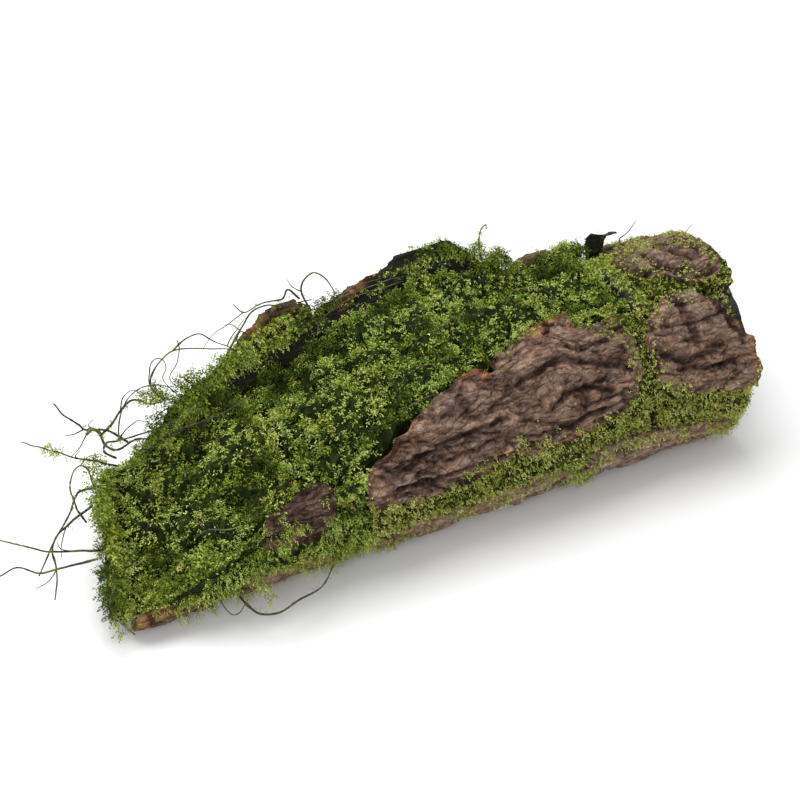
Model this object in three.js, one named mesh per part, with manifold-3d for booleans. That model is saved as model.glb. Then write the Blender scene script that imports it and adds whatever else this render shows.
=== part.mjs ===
// A mossy log lying on its flat underside: a dark hollowed body, pine-bark plates round the outside,
// moss mats in the open trough and in the seams between the plates, and wiry stems that grow out of the moss.
// Millimetres. +X runs along the log from its low, open end to its round, closed end.
// +Y is the back and +Z is up.
// The origin is on the underside, on the log's middle line. Angles round the log are in degrees, seen from
// the middle line: 0 is the front, 90 the top, 180 the back and -90 the underside.
import * as THREE from "three";
import { mergeVertices } from "three/addons/utils/BufferGeometryUtils.js";
import Module from "manifold-3d";

const wasm = await Module();
wasm.setup();

// ---- driving dimensions ----
const LOW_END = -298; // x of the open end, at its front corner
const ROUND_END = 288; // x of the closed end
const CLOSED_FROM = 190; // the trough ends here and the log is whole beyond it
const BODY_RADIUS = 84;
const CENTRE_HEIGHT = 72;
const END_SLANT = 0.3; // how far the open end's back corner lies behind its front one, per mm of depth
const SLANT_FRONT = 63; // the slanted end starts this far in front of the middle line
const SLANT_REACH = 150; // the slant fades out over this length of the log
const WALL = 8; // thickness of the trough's walls at the rim
const GLUE_GAP = 2; // between the body and the bark fixed on it
const PAD_GAP = 3; // between the body and the moss pads
const CUT_GAP = 0.8; // between two neighbours on the outside
const MOSS_DEPTH = 8; // height of the moss in the seams
const BED_WIDTH_SHARE = 0.97; // the bed keeps this much of the trough's width
const BED_MARGIN = 7; // least depth of the moss bed over the trough
const STEM_SIDES = 5;
const STEM_STEPS = 10;

// ---- how the section changes along the log: [x, value] ----
const FRONT_RIM = [
  [-298, -40], [-270, -34], [-240, -20], [-200, -7], [-150, 6], [-100, 14], [-60, 29],
  [-20, 46], [10, 52], [50, 56], [100, 64], [150, 58], [184, 61],
];
const BACK_RIM = [
  [-298, 196], [-255, 182], [-205, 163], [-165, 151], [-130, 140], [-100, 135], [-65, 136],
  [-35, 138], [-8, 131], [14, 125], [62, 124.5], [84, 129], [104, 137], [140, 138], [184, 134.5],
];
const BACK_FLARE = [[-298, 0.2], [-130, 0.9], [-65, 1], [84, 1], [184, 0.9], [CLOSED_FROM, 0]];
const MOST_FLARE = 1; // the back wall never stands further out than this share of the radius
const TROUGH_FLOOR = [
  [-298, 17], [-262, 26], [-200, 50], [-150, 70], [-100, 88], [-50, 104], [14, 114], [140, 118], [184, 122],
];
const BED_FRONT = [
  [-298, 30], [-262, 40], [-230, 60], [-200, 76], [-150, 94], [-100, 106], [-60, 128],
  [-20, 147], [10, 152], [50, 155], [184, 158],
];
const BED_BACK = [
  [-298, 62], [-240, 88], [-200, 102], [-150, 120], [-112, 128], [-85, 130], [-55, 147],
  [0, 160], [62, 163], [95, 158], [130, 147], [165, 144], [184, 147],
];
const BED_DOME = [[-298, 14], [-200, 20], [0, 10], [184, 8]];

// ---- small helpers ----
const radians = THREE.MathUtils.degToRad;
const steps = (from, to, count) => {
  const step = (to - from) / count;
  return Array.from({ length: count + 1 }, (_, i) => from + step * i);
};

function along(x, knots) {
  const last = knots.length - 1;
  const k = knots.findIndex(([at]) => at > x);
  if (k === 0) return knots[0][1];
  if (k < 0) return knots[last][1];
  const [[x0, v0], [x1, v1]] = [knots[k - 1], knots[k]];
  return THREE.MathUtils.lerp(v0, v1, (x - x0) / (x1 - x0));
}

// A smooth, repeatable unevenness between about -1 and 1.
function uneven(u, v, seed) {
  const along = Math.sin(u * 1.7 + seed * 2.3);
  const across = Math.sin(v * 2.1 - u * 0.9 + seed * 4.1);
  const fine = Math.sin(u * 3.3 + v * 1.3 + seed);
  return (along + across + fine) / 3;
}

// ---- the log's outer shape ----
function bodyRadius(x, angle) {
  const a = radians(angle);
  if (Math.sin(a) < 0) return Math.min(BODY_RADIUS, CENTRE_HEIGHT / -Math.sin(a));
  if (Math.cos(a) >= -0.02) return BODY_RADIUS;
  return BODY_RADIUS * (1 + along(x, BACK_FLARE) * Math.min(1 / -Math.cos(a) - 1, MOST_FLARE));
}

const slantShare = (x) => THREE.MathUtils.clamp((LOW_END + SLANT_REACH - x) / SLANT_REACH, 0, 1);
const slanted = (x, y, z) => new THREE.Vector3(x + slantShare(x) * END_SLANT * (y + SLANT_FRONT), y, z);

function onBody(x, angle, out = 0) {
  const r = bodyRadius(x, angle) + out;
  const z = CENTRE_HEIGHT + r * Math.sin(radians(angle));
  return slanted(x, -r * Math.cos(radians(angle)), Math.max(z, 0));
}

// ---- closed meshes and solids ----
// Joins equal-length loops of points into a closed skin. flat gives an end loop's points in a plane,
// for its cap.
function loft(loops, flat = (p) => [p.y, p.z]) {
  const n = loops[0].length;
  const triangles = [];
  for (let k = 0; k + 1 < loops.length; k++) {
    for (let i = 0; i < n; i++) {
      const [a, b, c, d] = [k * n + i, k * n + ((i + 1) % n), (k + 1) * n + ((i + 1) % n), (k + 1) * n + i];
      triangles.push([a, b, c], [a, c, d]);
    }
  }
  const cap = (loop, start, turned) => {
    const contour = loop.map((p, i) => new THREE.Vector2(...flat(p, i)));
    const way = THREE.ShapeUtils.area(contour) * (turned ? -1 : 1);
    for (const [a, b, c] of THREE.ShapeUtils.triangulateShape(contour, [])) {
      const kept = THREE.ShapeUtils.area([contour[a], contour[b], contour[c]]) * way > 0;
      triangles.push(kept ? [start + a, start + b, start + c] : [start + a, start + c, start + b]);
    }
  };
  cap(loops[0], 0, true);
  cap(loops.at(-1), (loops.length - 1) * n, false);
  return solidFrom(loops.flat(), triangles);
}

function solidFrom(points, triangles) {
  const bare = new THREE.BufferGeometry().setFromPoints(points);
  bare.setIndex(triangles.flat());
  const joined = mergeVertices(bare, 1e-4);
  const triVerts = new Uint32Array(joined.index.array);
  const vertProperties = joined.attributes.position.array;
  const make = () => new wasm.Manifold(new wasm.Mesh({ numProp: 3, vertProperties, triVerts }));
  const made = make();
  if (made.volume() > 0) return made;
  for (let i = 0; i < triVerts.length; i += 3) triVerts.subarray(i + 1, i + 3).reverse();
  return make();
}

function geometryOf(solid) {
  const mesh = solid.getMesh();
  const geometry = new THREE.BufferGeometry();
  geometry.setAttribute("position", new THREE.BufferAttribute(new Float32Array(mesh.vertProperties), 3));
  geometry.setIndex(new THREE.BufferAttribute(new Uint32Array(mesh.triVerts), 1));
  geometry.computeVertexNormals();
  return geometry;
}

const largestPiece = (solid) => solid.decompose().sort((a, b) => b.volume() - a.volume())[0];

// ---- the dark body ----
const OPEN_STATIONS = [
  -298, -270, -240, -205, -165, -130, -100, -65, -35, 14, 62, 84, 104, 140, 184,
];
const CLOSED_STATIONS = [CLOSED_FROM, 240, ROUND_END];
const stationsBetween = (from, to) => {
  const inner = [...OPEN_STATIONS, ...CLOSED_STATIONS].filter((x) => x > from + 1 && x < to - 1);
  return [from, ...inner, to];
};
const TROUGH_SHARES = [0.02, 0.09, 0.22, 0.5, 0.78, 0.91, 0.98]; // from the back rim (0) to the front rim (1)

// The trough's floor is a height over the depth y: level in the middle, with steep walls up to the rims.
function troughHeight(x, share) {
  const rim = [onBody(x, along(x, BACK_RIM), -WALL), onBody(x, along(x, FRONT_RIM), -WALL)];
  const y = THREE.MathUtils.lerp(rim[0].y, rim[1].y, share);
  const across = 2 * share - 1;
  const rimHeight = rim[across < 0 ? 0 : 1].z;
  const floor = Math.min(along(x, TROUGH_FLOOR), rimHeight - 2);
  return { y, z: floor + (rimHeight - floor) * Math.abs(across) ** 9 };
}

function bodySection(x, closed) {
  const [front, back] = [along(x, FRONT_RIM), along(x, BACK_RIM)];
  const outside = steps(front, back - 360, 21).map((angle) => onBody(x, angle));
  const inside = TROUGH_SHARES.map((share) => {
    if (closed) return onBody(x, THREE.MathUtils.lerp(back, front, share));
    const { y, z } = troughHeight(x, share);
    return slanted(x, y, z);
  });
  return [...outside, ...inside];
}

function dishedEnd(loop, depth) {
  const middle = loop.reduce((sum, p) => sum.add(p), new THREE.Vector3()).divideScalar(loop.length);
  return [[0.9, depth * 0.4], [0.84, depth]].map(([scale, back]) =>
    loop.map((p) => p.clone().sub(middle).multiplyScalar(scale).add(middle).setX(p.x - back)),
  );
}

function logBody() {
  const open = OPEN_STATIONS.map((x) => bodySection(x, false));
  const whole = CLOSED_STATIONS.map((x) => bodySection(x, true));
  return loft([...open, ...whole, ...dishedEnd(whole.at(-1), 7)]);
}

// ---- plates and pads that lie on the body ----
const MM_PER_DEGREE = radians(1) * BODY_RADIUS;

// A smooth closed outline through a few [x, angle] corners, with a torn edge, grown by some millimetres.
function tornOutline({ corners, torn = 1.6, seed, count = 15 }, grow = 0) {
  const points = corners.map(([x, angle]) => new THREE.Vector3(x, angle * MM_PER_DEGREE, 0));
  const ring = new THREE.CatmullRomCurve3(points, true, "centripetal").getSpacedPoints(count).slice(0, count);
  const turn = THREE.ShapeUtils.isClockWise(ring) ? -1 : 1;
  return ring.map((p, i) => {
    const run = ring[(i + 1) % count].clone().sub(ring[(i + count - 1) % count]).normalize();
    const out = grow + torn * uneven(i * 1.9, i * 0.8, seed);
    return [p.x + run.y * turn * out, (p.y - run.x * turn * out) / MM_PER_DEGREE];
  });
}

function outlinePrism(piece, grow) {
  const ring = tornOutline(piece, grow);
  const loops = [-32, 75].map((out) => ring.map(([x, angle]) => onBodyFree(x, angle, out)));
  return loft(loops, (_, i) => ring[i]);
}

// Like onBody, but it may pass below the ground, so that a cutter reaches all the way through.
function onBodyFree(x, angle, out) {
  const r = bodyRadius(x, angle) + out;
  return slanted(x, -r * Math.cos(radians(angle)), CENTRE_HEIGHT + r * Math.sin(radians(angle)));
}

function curvedSlab({ corners, thick, gap = GLUE_GAP, relief = 1.6, seed }, gridAngle) {
  const margin = 5;
  const xs = corners.map(([x]) => x);
  const angles = corners.map(([, angle]) => angle);
  const [x0, x1] = [Math.min(...xs) - margin, Math.max(...xs) + margin];
  const [a0, a1] = [Math.min(...angles) - margin, Math.max(...angles) + margin];
  const around = steps(a0, a1, Math.ceil((a1 - a0) / gridAngle));
  const loops = stationsBetween(x0, x1).map((x) => [
    ...around.map((angle) => onBody(x, angle, gap + thick + relief * uneven(x / 16, angle / 12, seed))),
    ...around.toReversed().map((angle) => onBody(x, angle, gap)),
  ]);
  return loft(loops);
}

// Bark plates: corners as [x, angle], from where each plate starts, and its thickness.
const PLATES = [
  { name: "bark_front_left", thick: 13, seed: 1, corners: [
    [-92, 6], [-91, 20], [-62, 32], [-18, 49], [10, 56], [40, 58], [50, 38], [44, 12], [0, 3], [-50, 1],
  ] },
  { name: "bark_front_right", thick: 14, seed: 2, corners: [
    [49, 8], [54, 38], [45, 60], [76, 66], [101, 72], [116, 74], [128, 62], [164, 62], [172, 42],
    [160, 22], [124, 12], [84, 8],
  ] },
  { name: "bark_round_end_front", thick: 16, seed: 3, corners: [
    [186, 24], [183, 42], [192, 54], [214, 64], [240, 64], [262, 50], [276, 38], [285, 22], [284, 6],
    [245, 9], [210, 13],
  ] },
  { name: "bark_round_end_top", thick: 13, seed: 4, corners: [
    [203, 100], [210, 114], [240, 116], [272, 120], [281, 104], [283, 84], [276, 70], [254, 69],
    [230, 78], [206, 88],
  ] },
  { name: "bark_low_right", thick: 13, seed: 5, corners: [
    [118, -22], [136, -6], [172, -8], [225, -14], [274, -24], [276, -40], [262, -50], [190, -52],
    [124, -50],
  ] },
  { name: "bark_low_middle", thick: 11, seed: 6, corners: [
    [-84, -40], [-40, -20], [6, -22], [52, -15], [92, -15], [110, -24], [106, -50], [30, -52],
    [-70, -52],
  ] },
  { name: "bark_low_left", thick: 11, seed: 7, corners: [
    [-205, -30], [-196, -18], [-164, -22], [-126, -26], [-122, -42], [-140, -50], [-196, -50],
  ] },
  { name: "bark_low_end", thick: 13, seed: 8, corners: [
    [-296, -42], [-284, -32], [-262, -30], [-240, -34], [-228, -44], [-236, -52], [-290, -52],
  ] },
  { name: "bark_small_front", thick: 10, seed: 9, corners: [
    [-184, 2], [-182, 14], [-156, 22], [-130, 27], [-122, 20], [-126, 5], [-150, -3],
  ] },
  { name: "bark_back_rim_left", thick: 12, seed: 10, corners: [
    [-150, 178], [-146, 152], [-128, 139], [-92, 131], [-68, 133], [-60, 152], [-66, 180], [-110, 186],
  ] },
  { name: "bark_back_rim_middle", thick: 12, seed: 11, corners: [
    [-50, 176], [-54, 150], [-44, 141], [-24, 136], [-4, 134], [14, 133], [21, 148], [22, 172],
    [-10, 182],
  ] },
  { name: "bark_back_rim_right", thick: 11, seed: 12, corners: [
    [128, 174], [132, 152], [142, 145], [164, 141], [180, 145], [182, 162], [178, 177], [150, 181],
  ] },
  { name: "bark_back_middle", thick: 12, seed: 13, corners: [
    [38, 190], [34, 150], [52, 139], [88, 142], [112, 152], [116, 178], [108, 196], [64, 198],
  ] },
  { name: "bark_back_round_end", thick: 14, seed: 14, corners: [
    [208, 190], [214, 150], [232, 136], [270, 137], [284, 152], [285, 184], [262, 198], [220, 200],
  ] },
  { name: "bark_back_low_left", thick: 12, seed: 15, corners: [
    [-268, 232], [-262, 210], [-200, 196], [-120, 198], [-88, 206], [-92, 226], [-140, 232],
    [-230, 233],
  ] },
  { name: "bark_back_low_right", thick: 12, seed: 16, corners: [
    [-70, 230], [-66, 204], [0, 196], [50, 212], [150, 206], [200, 216], [272, 214], [276, 228],
    [200, 233], [40, 232],
  ] },
];

// Moss pads round the outside, each cut back from the plates that lie in it.
const PADS = [
  { name: "moss_front_left", corners: [
    [-268, -34], [-236, -14], [-200, -2], [-150, 11], [-96, 19], [-93, -10], [-92, -51], [-160, -51],
    [-262, -49],
  ] },
  { name: "moss_front_middle", corners: [
    [-91, -50], [-91, 0], [-88, 16], [20, 10], [140, 22], [142, -10], [142, -50], [30, -51],
  ] },
  { name: "moss_front_right", corners: [
    [144, -50], [144, 20], [146, 60], [170, 65], [205, 66], [240, 66], [272, 60], [280, 34], [280, -50],
    [200, -51],
  ] },
  { name: "moss_round_end_top", corners: [
    [208, 68], [201, 100], [211, 116], [236, 122], [282, 134], [287, 110], [287, 64], [250, 66],
  ] },
  { name: "moss_back_right", corners: [
    [122, 228], [120, 170], [126, 152], [150, 153], [182, 154], [204, 146], [224, 138], [284, 136],
    [286, 170], [285, 228], [200, 230],
  ] },
  { name: "moss_back_middle", corners: [
    [-84, 228], [-84, 190], [-80, 140], [-40, 141], [10, 132], [70, 131], [116, 146], [117, 190],
    [117, 228], [20, 230],
  ] },
  { name: "moss_back_left", corners: [
    [-274, 228], [-268, 200], [-210, 168], [-150, 150], [-120, 141], [-90, 138], [-87, 190], [-87, 228],
    [-180, 230],
  ] },
];

const plateSolid = (plate, cutters) =>
  largestPiece(cutBack(curvedSlab(plate, 20).intersect(outlinePrism(plate, 0)), cutters));

const cutBack = (solid, cutters) => cutters.reduce((left, cutter) => left.subtract(cutter), solid);

const PAD_SHAPE = { thick: MOSS_DEPTH, gap: PAD_GAP, relief: 1, torn: 0.8, seed: 3.3, count: 13 };
const padShape = (pad) => ({ ...pad, ...PAD_SHAPE });

function padSolid(pad, cutters) {
  const shape = padShape(pad);
  return largestPiece(cutBack(curvedSlab(shape, 24).intersect(outlinePrism(shape, 0)), cutters));
}

// ---- the moss mats in the trough ----
function bedTop(x, share) {
  const edge = THREE.MathUtils.lerp(along(x, BED_BACK), along(x, BED_FRONT), share);
  const dome = along(x, BED_DOME) * Math.sin(Math.PI * share);
  return edge + dome + 2.5 * uneven(x / 22, share * 6, 5);
}

const MATS = [
  ["moss_mat_low_end", LOW_END, -142],
  ["moss_mat_middle", -140, 28],
  ["moss_mat_round_end", 30, OPEN_STATIONS.at(-1)],
];

function mossMat(from, to) {
  const loops = stationsBetween(from, to).map((x) => {
    const floor = TROUGH_SHARES.map((share) => troughHeight(x, share));
    const pulledIn = (y) => y * BED_WIDTH_SHARE;
    const under = floor.map(({ y, z }) => slanted(x, pulledIn(y), z + 2 * GLUE_GAP));
    const over = floor.map(({ y, z }, i) => {
      const top = Math.max(bedTop(x, TROUGH_SHARES[i]), z + BED_MARGIN);
      return slanted(x, pulledIn(y), top);
    });
    return [...under, ...over.toReversed()];
  });
  return loft(loops);
}

// The moss that hangs over the open end, as a curtain in front of the body.
function mossCurtain() {
  const outline = [
    [-66, 24], [-52, 44], [-18, 68], [24, 80], [64, 74], [76, 52], [58, 16], [0, 7], [-48, 13],
  ];
  const middle = 42;
  const hang = (out, scale) =>
    outline.map(([y, z]) => {
      const p = slanted(LOW_END, y * scale, middle + (z - middle) * scale);
      return p.setX(p.x - out);
    });
  return loft([hang(1.2, 1), hang(8, 0.96), hang(15, 0.8)]);
}

// A dark leaf of the body's own skin, curled up on the back rim.
function curledSkin() {
  const lean = [[0, 0], [1, 12], [4, 24], [9, 33], [17, 38], [25, 37]]; // along x and up, foot to tip
  const foot = new THREE.Vector3(201, 55, 139.5);
  const [width, thin, taper, rollFrom] = [11, 2.4, 0.12, 3];
  const loops = lean.map(([dx, dz], i) => {
    const half = width * (1 - taper * i);
    const spine = new THREE.Vector3(dx, dz * 0.2, dz * 0.72).add(foot);
    const depth = i < rollFrom ? [thin, 0] : [thin * 0.7, -thin * 0.9];
    const inner = [[-half, 3], [0, 0], [half * 0.6, 4]];
    const outer = inner.toReversed();
    return [
      ...inner.map(([u, v]) => new THREE.Vector3(spine.x + u, spine.y + v, spine.z)),
      ...outer.map(([u, v]) => new THREE.Vector3(spine.x + u, spine.y + v + depth[0], spine.z + depth[1])),
    ];
  });
  return loft(loops, (p) => [p.x, p.y]);
}

// ---- stems ----
// Each stem's route, chosen point by point, from where it leaves the moss to its free end.
const STEMS = [
  { name: "stem_left_long_upper", diameter: 2.2, route: [
    [-299, -8, 46], [-310, -15, 56], [-330, -25, 73], [-352, -35, 91], [-372, -40, 111],
    [-389, -45, 128], [-400, -50, 139],
  ] },
  { name: "stem_left_long_lower", diameter: 2.2, route: [
    [-310, -31, 61], [-326, -35, 66], [-346, -40, 73], [-362, -45, 80], [-379, -50, 98],
    [-394, -55, 100], [-407, -58, 101],
  ] },
  { name: "stem_left_loop", diameter: 2, route: [
    [-305, 10, 65], [-314, 0, 93], [-318, -8, 121], [-313, 0, 130], [-304, 8, 129], [-296, 14, 116],
    [-292, 20, 95], [-290, 20, 80],
  ] },
  { name: "stem_left_hanging", diameter: 2.2, route: [
    [-283, 30, 80], [-292, 27, 84], [-306, 18, 92], [-318, 0, 94], [-328, -9, 87], [-338, -15, 81],
    [-347, -22, 75], [-360, -32, 63],
  ] },
  { name: "stem_left_crossing", diameter: 2.2, route: [
    [-296, 20, 71], [-311, 10, 74], [-324, 0, 77], [-336, -10, 77], [-342, -15, 68], [-342, -20, 57],
    [-345, -25, 44], [-348, -25, 25],
  ] },
  { name: "twig_left_straight", diameter: 2, route: [
    [-264, 40, 87], [-285, 30, 108], [-302, 25, 123], [-324, 20, 143], [-347, 10, 169],
  ] },
  { name: "twig_left_forked", diameter: 2.4, route: [
    [-248, 60, 92], [-265, 55, 115], [-280, 50, 126], [-287, 48, 130], [-301, 40, 154], [-312, 35, 176],
  ] },
  { name: "stem_upper_arc", diameter: 2.4, route: [
    [-274, 50, 116], [-262, 50, 125], [-254, 52, 133], [-242, 58, 137], [-234, 60, 133],
    [-227, 55, 130], [-210, 50, 132], [-198, 50, 122],
  ] },
  { name: "stem_upper_twist", diameter: 3, route: [
    [-289, 34, 136], [-283, 36, 138], [-276, 38, 129], [-273, 40, 114], [-264, 36, 108],
    [-248, 37, 112], [-236, 38, 107],
  ] },
  { name: "stem_mid_loop", diameter: 2.2, route: [
    [-269, 25, 110], [-280, 20, 125], [-275, 25, 129], [-264, 30, 123], [-242, 40, 114],
    [-219, 45, 111],
  ] },
  { name: "stem_back_fork", diameter: 2, route: [
    [-81, 72, 180], [-90, 75, 191], [-94, 77, 181], [-105, 78, 181], [-118, 78, 181], [-130, 78, 178],
    [-139, 78, 189],
  ] },
  { name: "stem_back_long_arc", diameter: 2, route: [
    [-155, 70, 134], [-148, 72, 146], [-135, 75, 162], [-125, 75, 177], [-111, 75, 180], [-88, 74, 175],
    [-69, 73, 174],
  ] },
  { name: "stem_back_loop", diameter: 2, route: [
    [-74, 70, 171], [-79, 72, 187], [-76, 72, 199], [-67, 73, 203], [-56, 74, 192], [-49, 74, 178],
    [-48, 74, 171],
  ] },
  { name: "stem_front_low_arc", diameter: 2.2, route: [
    [-210, -87, 24], [-208, -100, 24], [-204, -120, 31], [-190, -125, 32], [-171, -122, 35],
    [-147, -112, 31], [-128, -94, 31],
  ] },
  { name: "stem_low_corner", diameter: 2, route: [
    [-305, -60, 55], [-312, -64, 44], [-314, -68, 31], [-309, -80, 31], [-303, -92, 27],
  ] },
  { name: "stem_round_end_top", diameter: 1.4, route: [
    [232, 62, 146], [232, 64, 150], [240, 64, 154], [250, 66, 162],
  ] },
];

function stemGeometry({ diameter, route }) {
  const section = new THREE.Shape(steps(0, 2 * Math.PI, STEM_SIDES).slice(1).map(
    (turn) => new THREE.Vector2(Math.cos(turn), Math.sin(turn)).multiplyScalar(diameter / 2),
  ));
  const path = new THREE.CatmullRomCurve3(route.map((p) => new THREE.Vector3(...p)), false, "centripetal");
  return new THREE.ExtrudeGeometry(section, { extrudePath: path, steps: STEM_STEPS });
}

// ---- the finished group ----
const MATERIALS = {
  darkWood: new THREE.MeshStandardMaterial({ color: "#26241f", roughness: 0.85, metalness: 0 }),
  bark: new THREE.MeshStandardMaterial({ color: "#6f5448", roughness: 0.9, metalness: 0 }),
  moss: new THREE.MeshStandardMaterial({ color: "#6f8f2a", roughness: 0.95, metalness: 0 }),
  stem: new THREE.MeshStandardMaterial({ color: "#3c3a36", roughness: 0.7, metalness: 0 }),
};

const log = new THREE.Group();

function add(name, geometry, material) {
  const mesh = new THREE.Mesh(geometry, material);
  mesh.name = name;
  log.add(mesh);
}

const plateCutters = PLATES.map((plate) => outlinePrism(plate, CUT_GAP));
const overTheBed = plateCutters.filter((_, i) =>
  PLATES[i].corners.some(([x, angle]) => x < CLOSED_FROM && Math.abs(angle - 90) < 25),
);
const padCutters = PADS.map((pad) => outlinePrism(padShape(pad), CUT_GAP));

add("log_body", geometryOf(logBody()), MATERIALS.darkWood);
PLATES.forEach((plate, i) => {
  add(plate.name, geometryOf(plateSolid(plate, plateCutters.slice(0, i))), MATERIALS.bark);
});
PADS.forEach((pad, i) => {
  add(pad.name, geometryOf(padSolid(pad, [...plateCutters, ...padCutters.slice(0, i)])), MATERIALS.moss);
});
for (const [name, from, to] of MATS) {
  add(name, geometryOf(cutBack(mossMat(from, to), overTheBed)), MATERIALS.moss);
}
add("moss_curtain", geometryOf(mossCurtain()), MATERIALS.moss);
add("curled_skin", geometryOf(curledSkin()), MATERIALS.darkWood);
for (const stem of STEMS) add(stem.name, stemGeometry(stem), MATERIALS.stem);

export default log;
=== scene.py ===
# %% [markdown]
# # A mossy log, built around its construction model
# The construction model gives every piece's place and size: a dark hollowed log, bark plates round it, moss
# mats and pads, and wiry stems. This lesson makes each of them look like the real thing and leaves its
# place alone.

# %% Load the frame
import math

import bpy
import numpy as np
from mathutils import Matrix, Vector
from mathutils.bvhtree import BVHTree
from mathutils.kdtree import KDTree


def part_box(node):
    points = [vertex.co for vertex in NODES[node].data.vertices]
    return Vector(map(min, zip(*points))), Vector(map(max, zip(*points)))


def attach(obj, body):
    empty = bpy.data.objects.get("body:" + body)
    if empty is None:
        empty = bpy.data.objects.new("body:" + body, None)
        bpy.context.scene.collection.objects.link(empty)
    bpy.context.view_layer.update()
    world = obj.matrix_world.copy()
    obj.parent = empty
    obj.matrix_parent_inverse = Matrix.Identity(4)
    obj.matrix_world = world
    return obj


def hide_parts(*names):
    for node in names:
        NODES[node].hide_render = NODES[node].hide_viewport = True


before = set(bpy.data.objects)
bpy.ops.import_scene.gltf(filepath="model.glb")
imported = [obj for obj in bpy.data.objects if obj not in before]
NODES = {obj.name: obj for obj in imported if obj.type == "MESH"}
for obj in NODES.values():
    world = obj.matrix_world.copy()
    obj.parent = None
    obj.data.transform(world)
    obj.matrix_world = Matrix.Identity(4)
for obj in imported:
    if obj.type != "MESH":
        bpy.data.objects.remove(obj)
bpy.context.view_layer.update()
MM = 0.001

# %% [markdown]
# ## The log's own directions
# Everything on a log is easiest to say in three numbers: how far along it, how far round it and how far out
# from its middle line. The body's box gives the radius. The body stands on a flat underside, so its middle
# line lies lower than its radius. These helpers turn places into that frame.

# %% Directions on the log
BODY_LOW, BODY_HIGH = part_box("log_body")
LOG_RADIUS = (BODY_HIGH.y - BODY_LOW.y) / 2
MIDDLE_Z = 72 * MM
OPEN_END = BODY_LOW.x
ROUND_END = BODY_HIGH.x


def from_middle(points):
    """Distance out from the middle line, and the unit direction outwards."""
    out = points * [0, 1, 1] - [0, 0, MIDDLE_Z]
    size = np.linalg.norm(out, axis=1, keepdims=True)
    return size[:, 0], out / np.maximum(size, 1e-9)


def round_the_log(points):
    """Arc length round the log from its front, going up."""
    return np.arctan2(points[:, 2] - MIDDLE_Z, -points[:, 1]) * LOG_RADIUS


def unit(vectors):
    return vectors / np.maximum(np.linalg.norm(vectors, axis=-1, keepdims=True), 1e-12)


print(f"log radius {LOG_RADIUS:.3f} m, from x {OPEN_END:.3f} to {ROUND_END:.3f}")

# %% [markdown]
# ## Unevenness that repeats exactly
# Bark and moss need the same kind of help: a smooth random value at any point of space, the same on every
# run. Blender has textures for this, but shapes are moved in bulk here, so a small lattice noise in arrays
# is faster. Every lattice point gets a value from its whole-number place, and points in between blend their
# eight corners.

# %% Lattice noise


def lattice_value(cell, seed):
    n = cell[:, 0] * 73856093 ^ cell[:, 1] * 19349663 ^ cell[:, 2] * 83492791 ^ (seed * 2654435761)
    n = (n ^ (n >> 13)) * 1274126177 & 0xFFFFFFFF
    n = (n ^ (n >> 16)) * 2246822519 & 0xFFFFFFFF
    return (n ^ (n >> 15)) / 0xFFFFFFFF * 2 - 1


def uneven(points, size, seed):
    """Smooth noise between -1 and 1. size is the length of its bumps, one number or one for each axis."""
    at = points / size + 100.5
    cell = np.floor(at).astype(np.int64)
    t = at - cell
    t = t * t * (3 - 2 * t)
    total = np.zeros(len(points))
    for corner in np.ndindex(2, 2, 2):
        share = np.prod(np.where(corner, t, 1 - t), axis=1)
        total += share * lattice_value(cell + corner, seed)
    return total


def rough(points, size, seed, layers=3):
    """Noise with finer and finer layers on it."""
    size = np.asarray(size, float)
    return sum(uneven(points, size / 2**k, seed + k) / 2**k for k in range(layers)) / 1.6


def step_between(low, high, value):
    t = np.clip((value - low) / (high - low), 0, 1)
    return t * t * (3 - 2 * t)


def nearest_cells(points, size, seed):
    """Distance to the nearest of scattered points, one in each cell, and that point's own random number."""
    at = points / size + 100.5
    home = np.floor(at).astype(np.int64)
    best = np.full(len(points), 9.0)
    number = np.zeros(len(points))
    for shift in np.ndindex(3, 3, 3):
        cell = home + shift - 1
        spot = cell + 0.5 + 0.42 * np.stack([lattice_value(cell, seed + k) for k in range(3)], 1)
        gap = np.linalg.norm(at - spot, axis=1)
        closer = gap < best
        best = np.where(closer, gap, best)
        number = np.where(closer, lattice_value(cell, seed + 7), number)
    return best, number * 0.5 + 0.5


print("noise at the origin", uneven(np.zeros((1, 3)), 0.01, 1).round(3))

# %% [markdown]
# ## Meshes to and from arrays
# A piece that starts from a construction node is copied, never edited. Voxel remeshing turns its flat
# facets into an even net of small quads, which can then be pushed about point by point. New meshes are made
# straight from arrays of points and faces, which is the quick way to make hundreds of thousands of
# leaflets.

# %% Mesh helpers


def fine_copy(nodes, voxel):
    """Points, quads and normals of an even net of small faces over the nodes' solids."""
    meshes = [NODES[node].data for node in nodes]
    points = np.concatenate([positions(mesh) for mesh in meshes])
    starts = np.cumsum([0] + [len(mesh.vertices) for mesh in meshes])
    faces = [
        [v + start for v in face.vertices] for mesh, start in zip(meshes, starts) for face in mesh.polygons
    ]
    mesh = bpy.data.meshes.new("coarse")
    mesh.from_pydata(points.tolist(), [], faces)
    holder = bpy.data.objects.new("coarse", mesh)
    bpy.context.scene.collection.objects.link(holder)
    remesh = holder.modifiers.new("net", "REMESH")
    remesh.mode = "VOXEL"
    remesh.voxel_size = voxel
    fine = bpy.data.meshes.new_from_object(holder.evaluated_get(bpy.context.evaluated_depsgraph_get()))
    bpy.data.objects.remove(holder)
    quads = np.empty(len(fine.loops), np.int32)
    fine.loops.foreach_get("vertex_index", quads)
    assert len(quads) == 4 * len(fine.polygons)
    points, normals = positions(fine), np.empty(len(fine.vertices) * 3)
    fine.vertex_normals.foreach_get("vector", normals)
    bpy.data.meshes.remove(fine)
    return points, quads.reshape(-1, 4), normals.reshape(-1, 3)


def distance_to(targets, points):
    """Distance from each point to the nearest target."""
    tree = KDTree(len(targets))
    for number, target in enumerate(targets):
        tree.insert(target, number)
    tree.balance()
    return np.array([tree.find(point)[2] for point in points])


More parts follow.
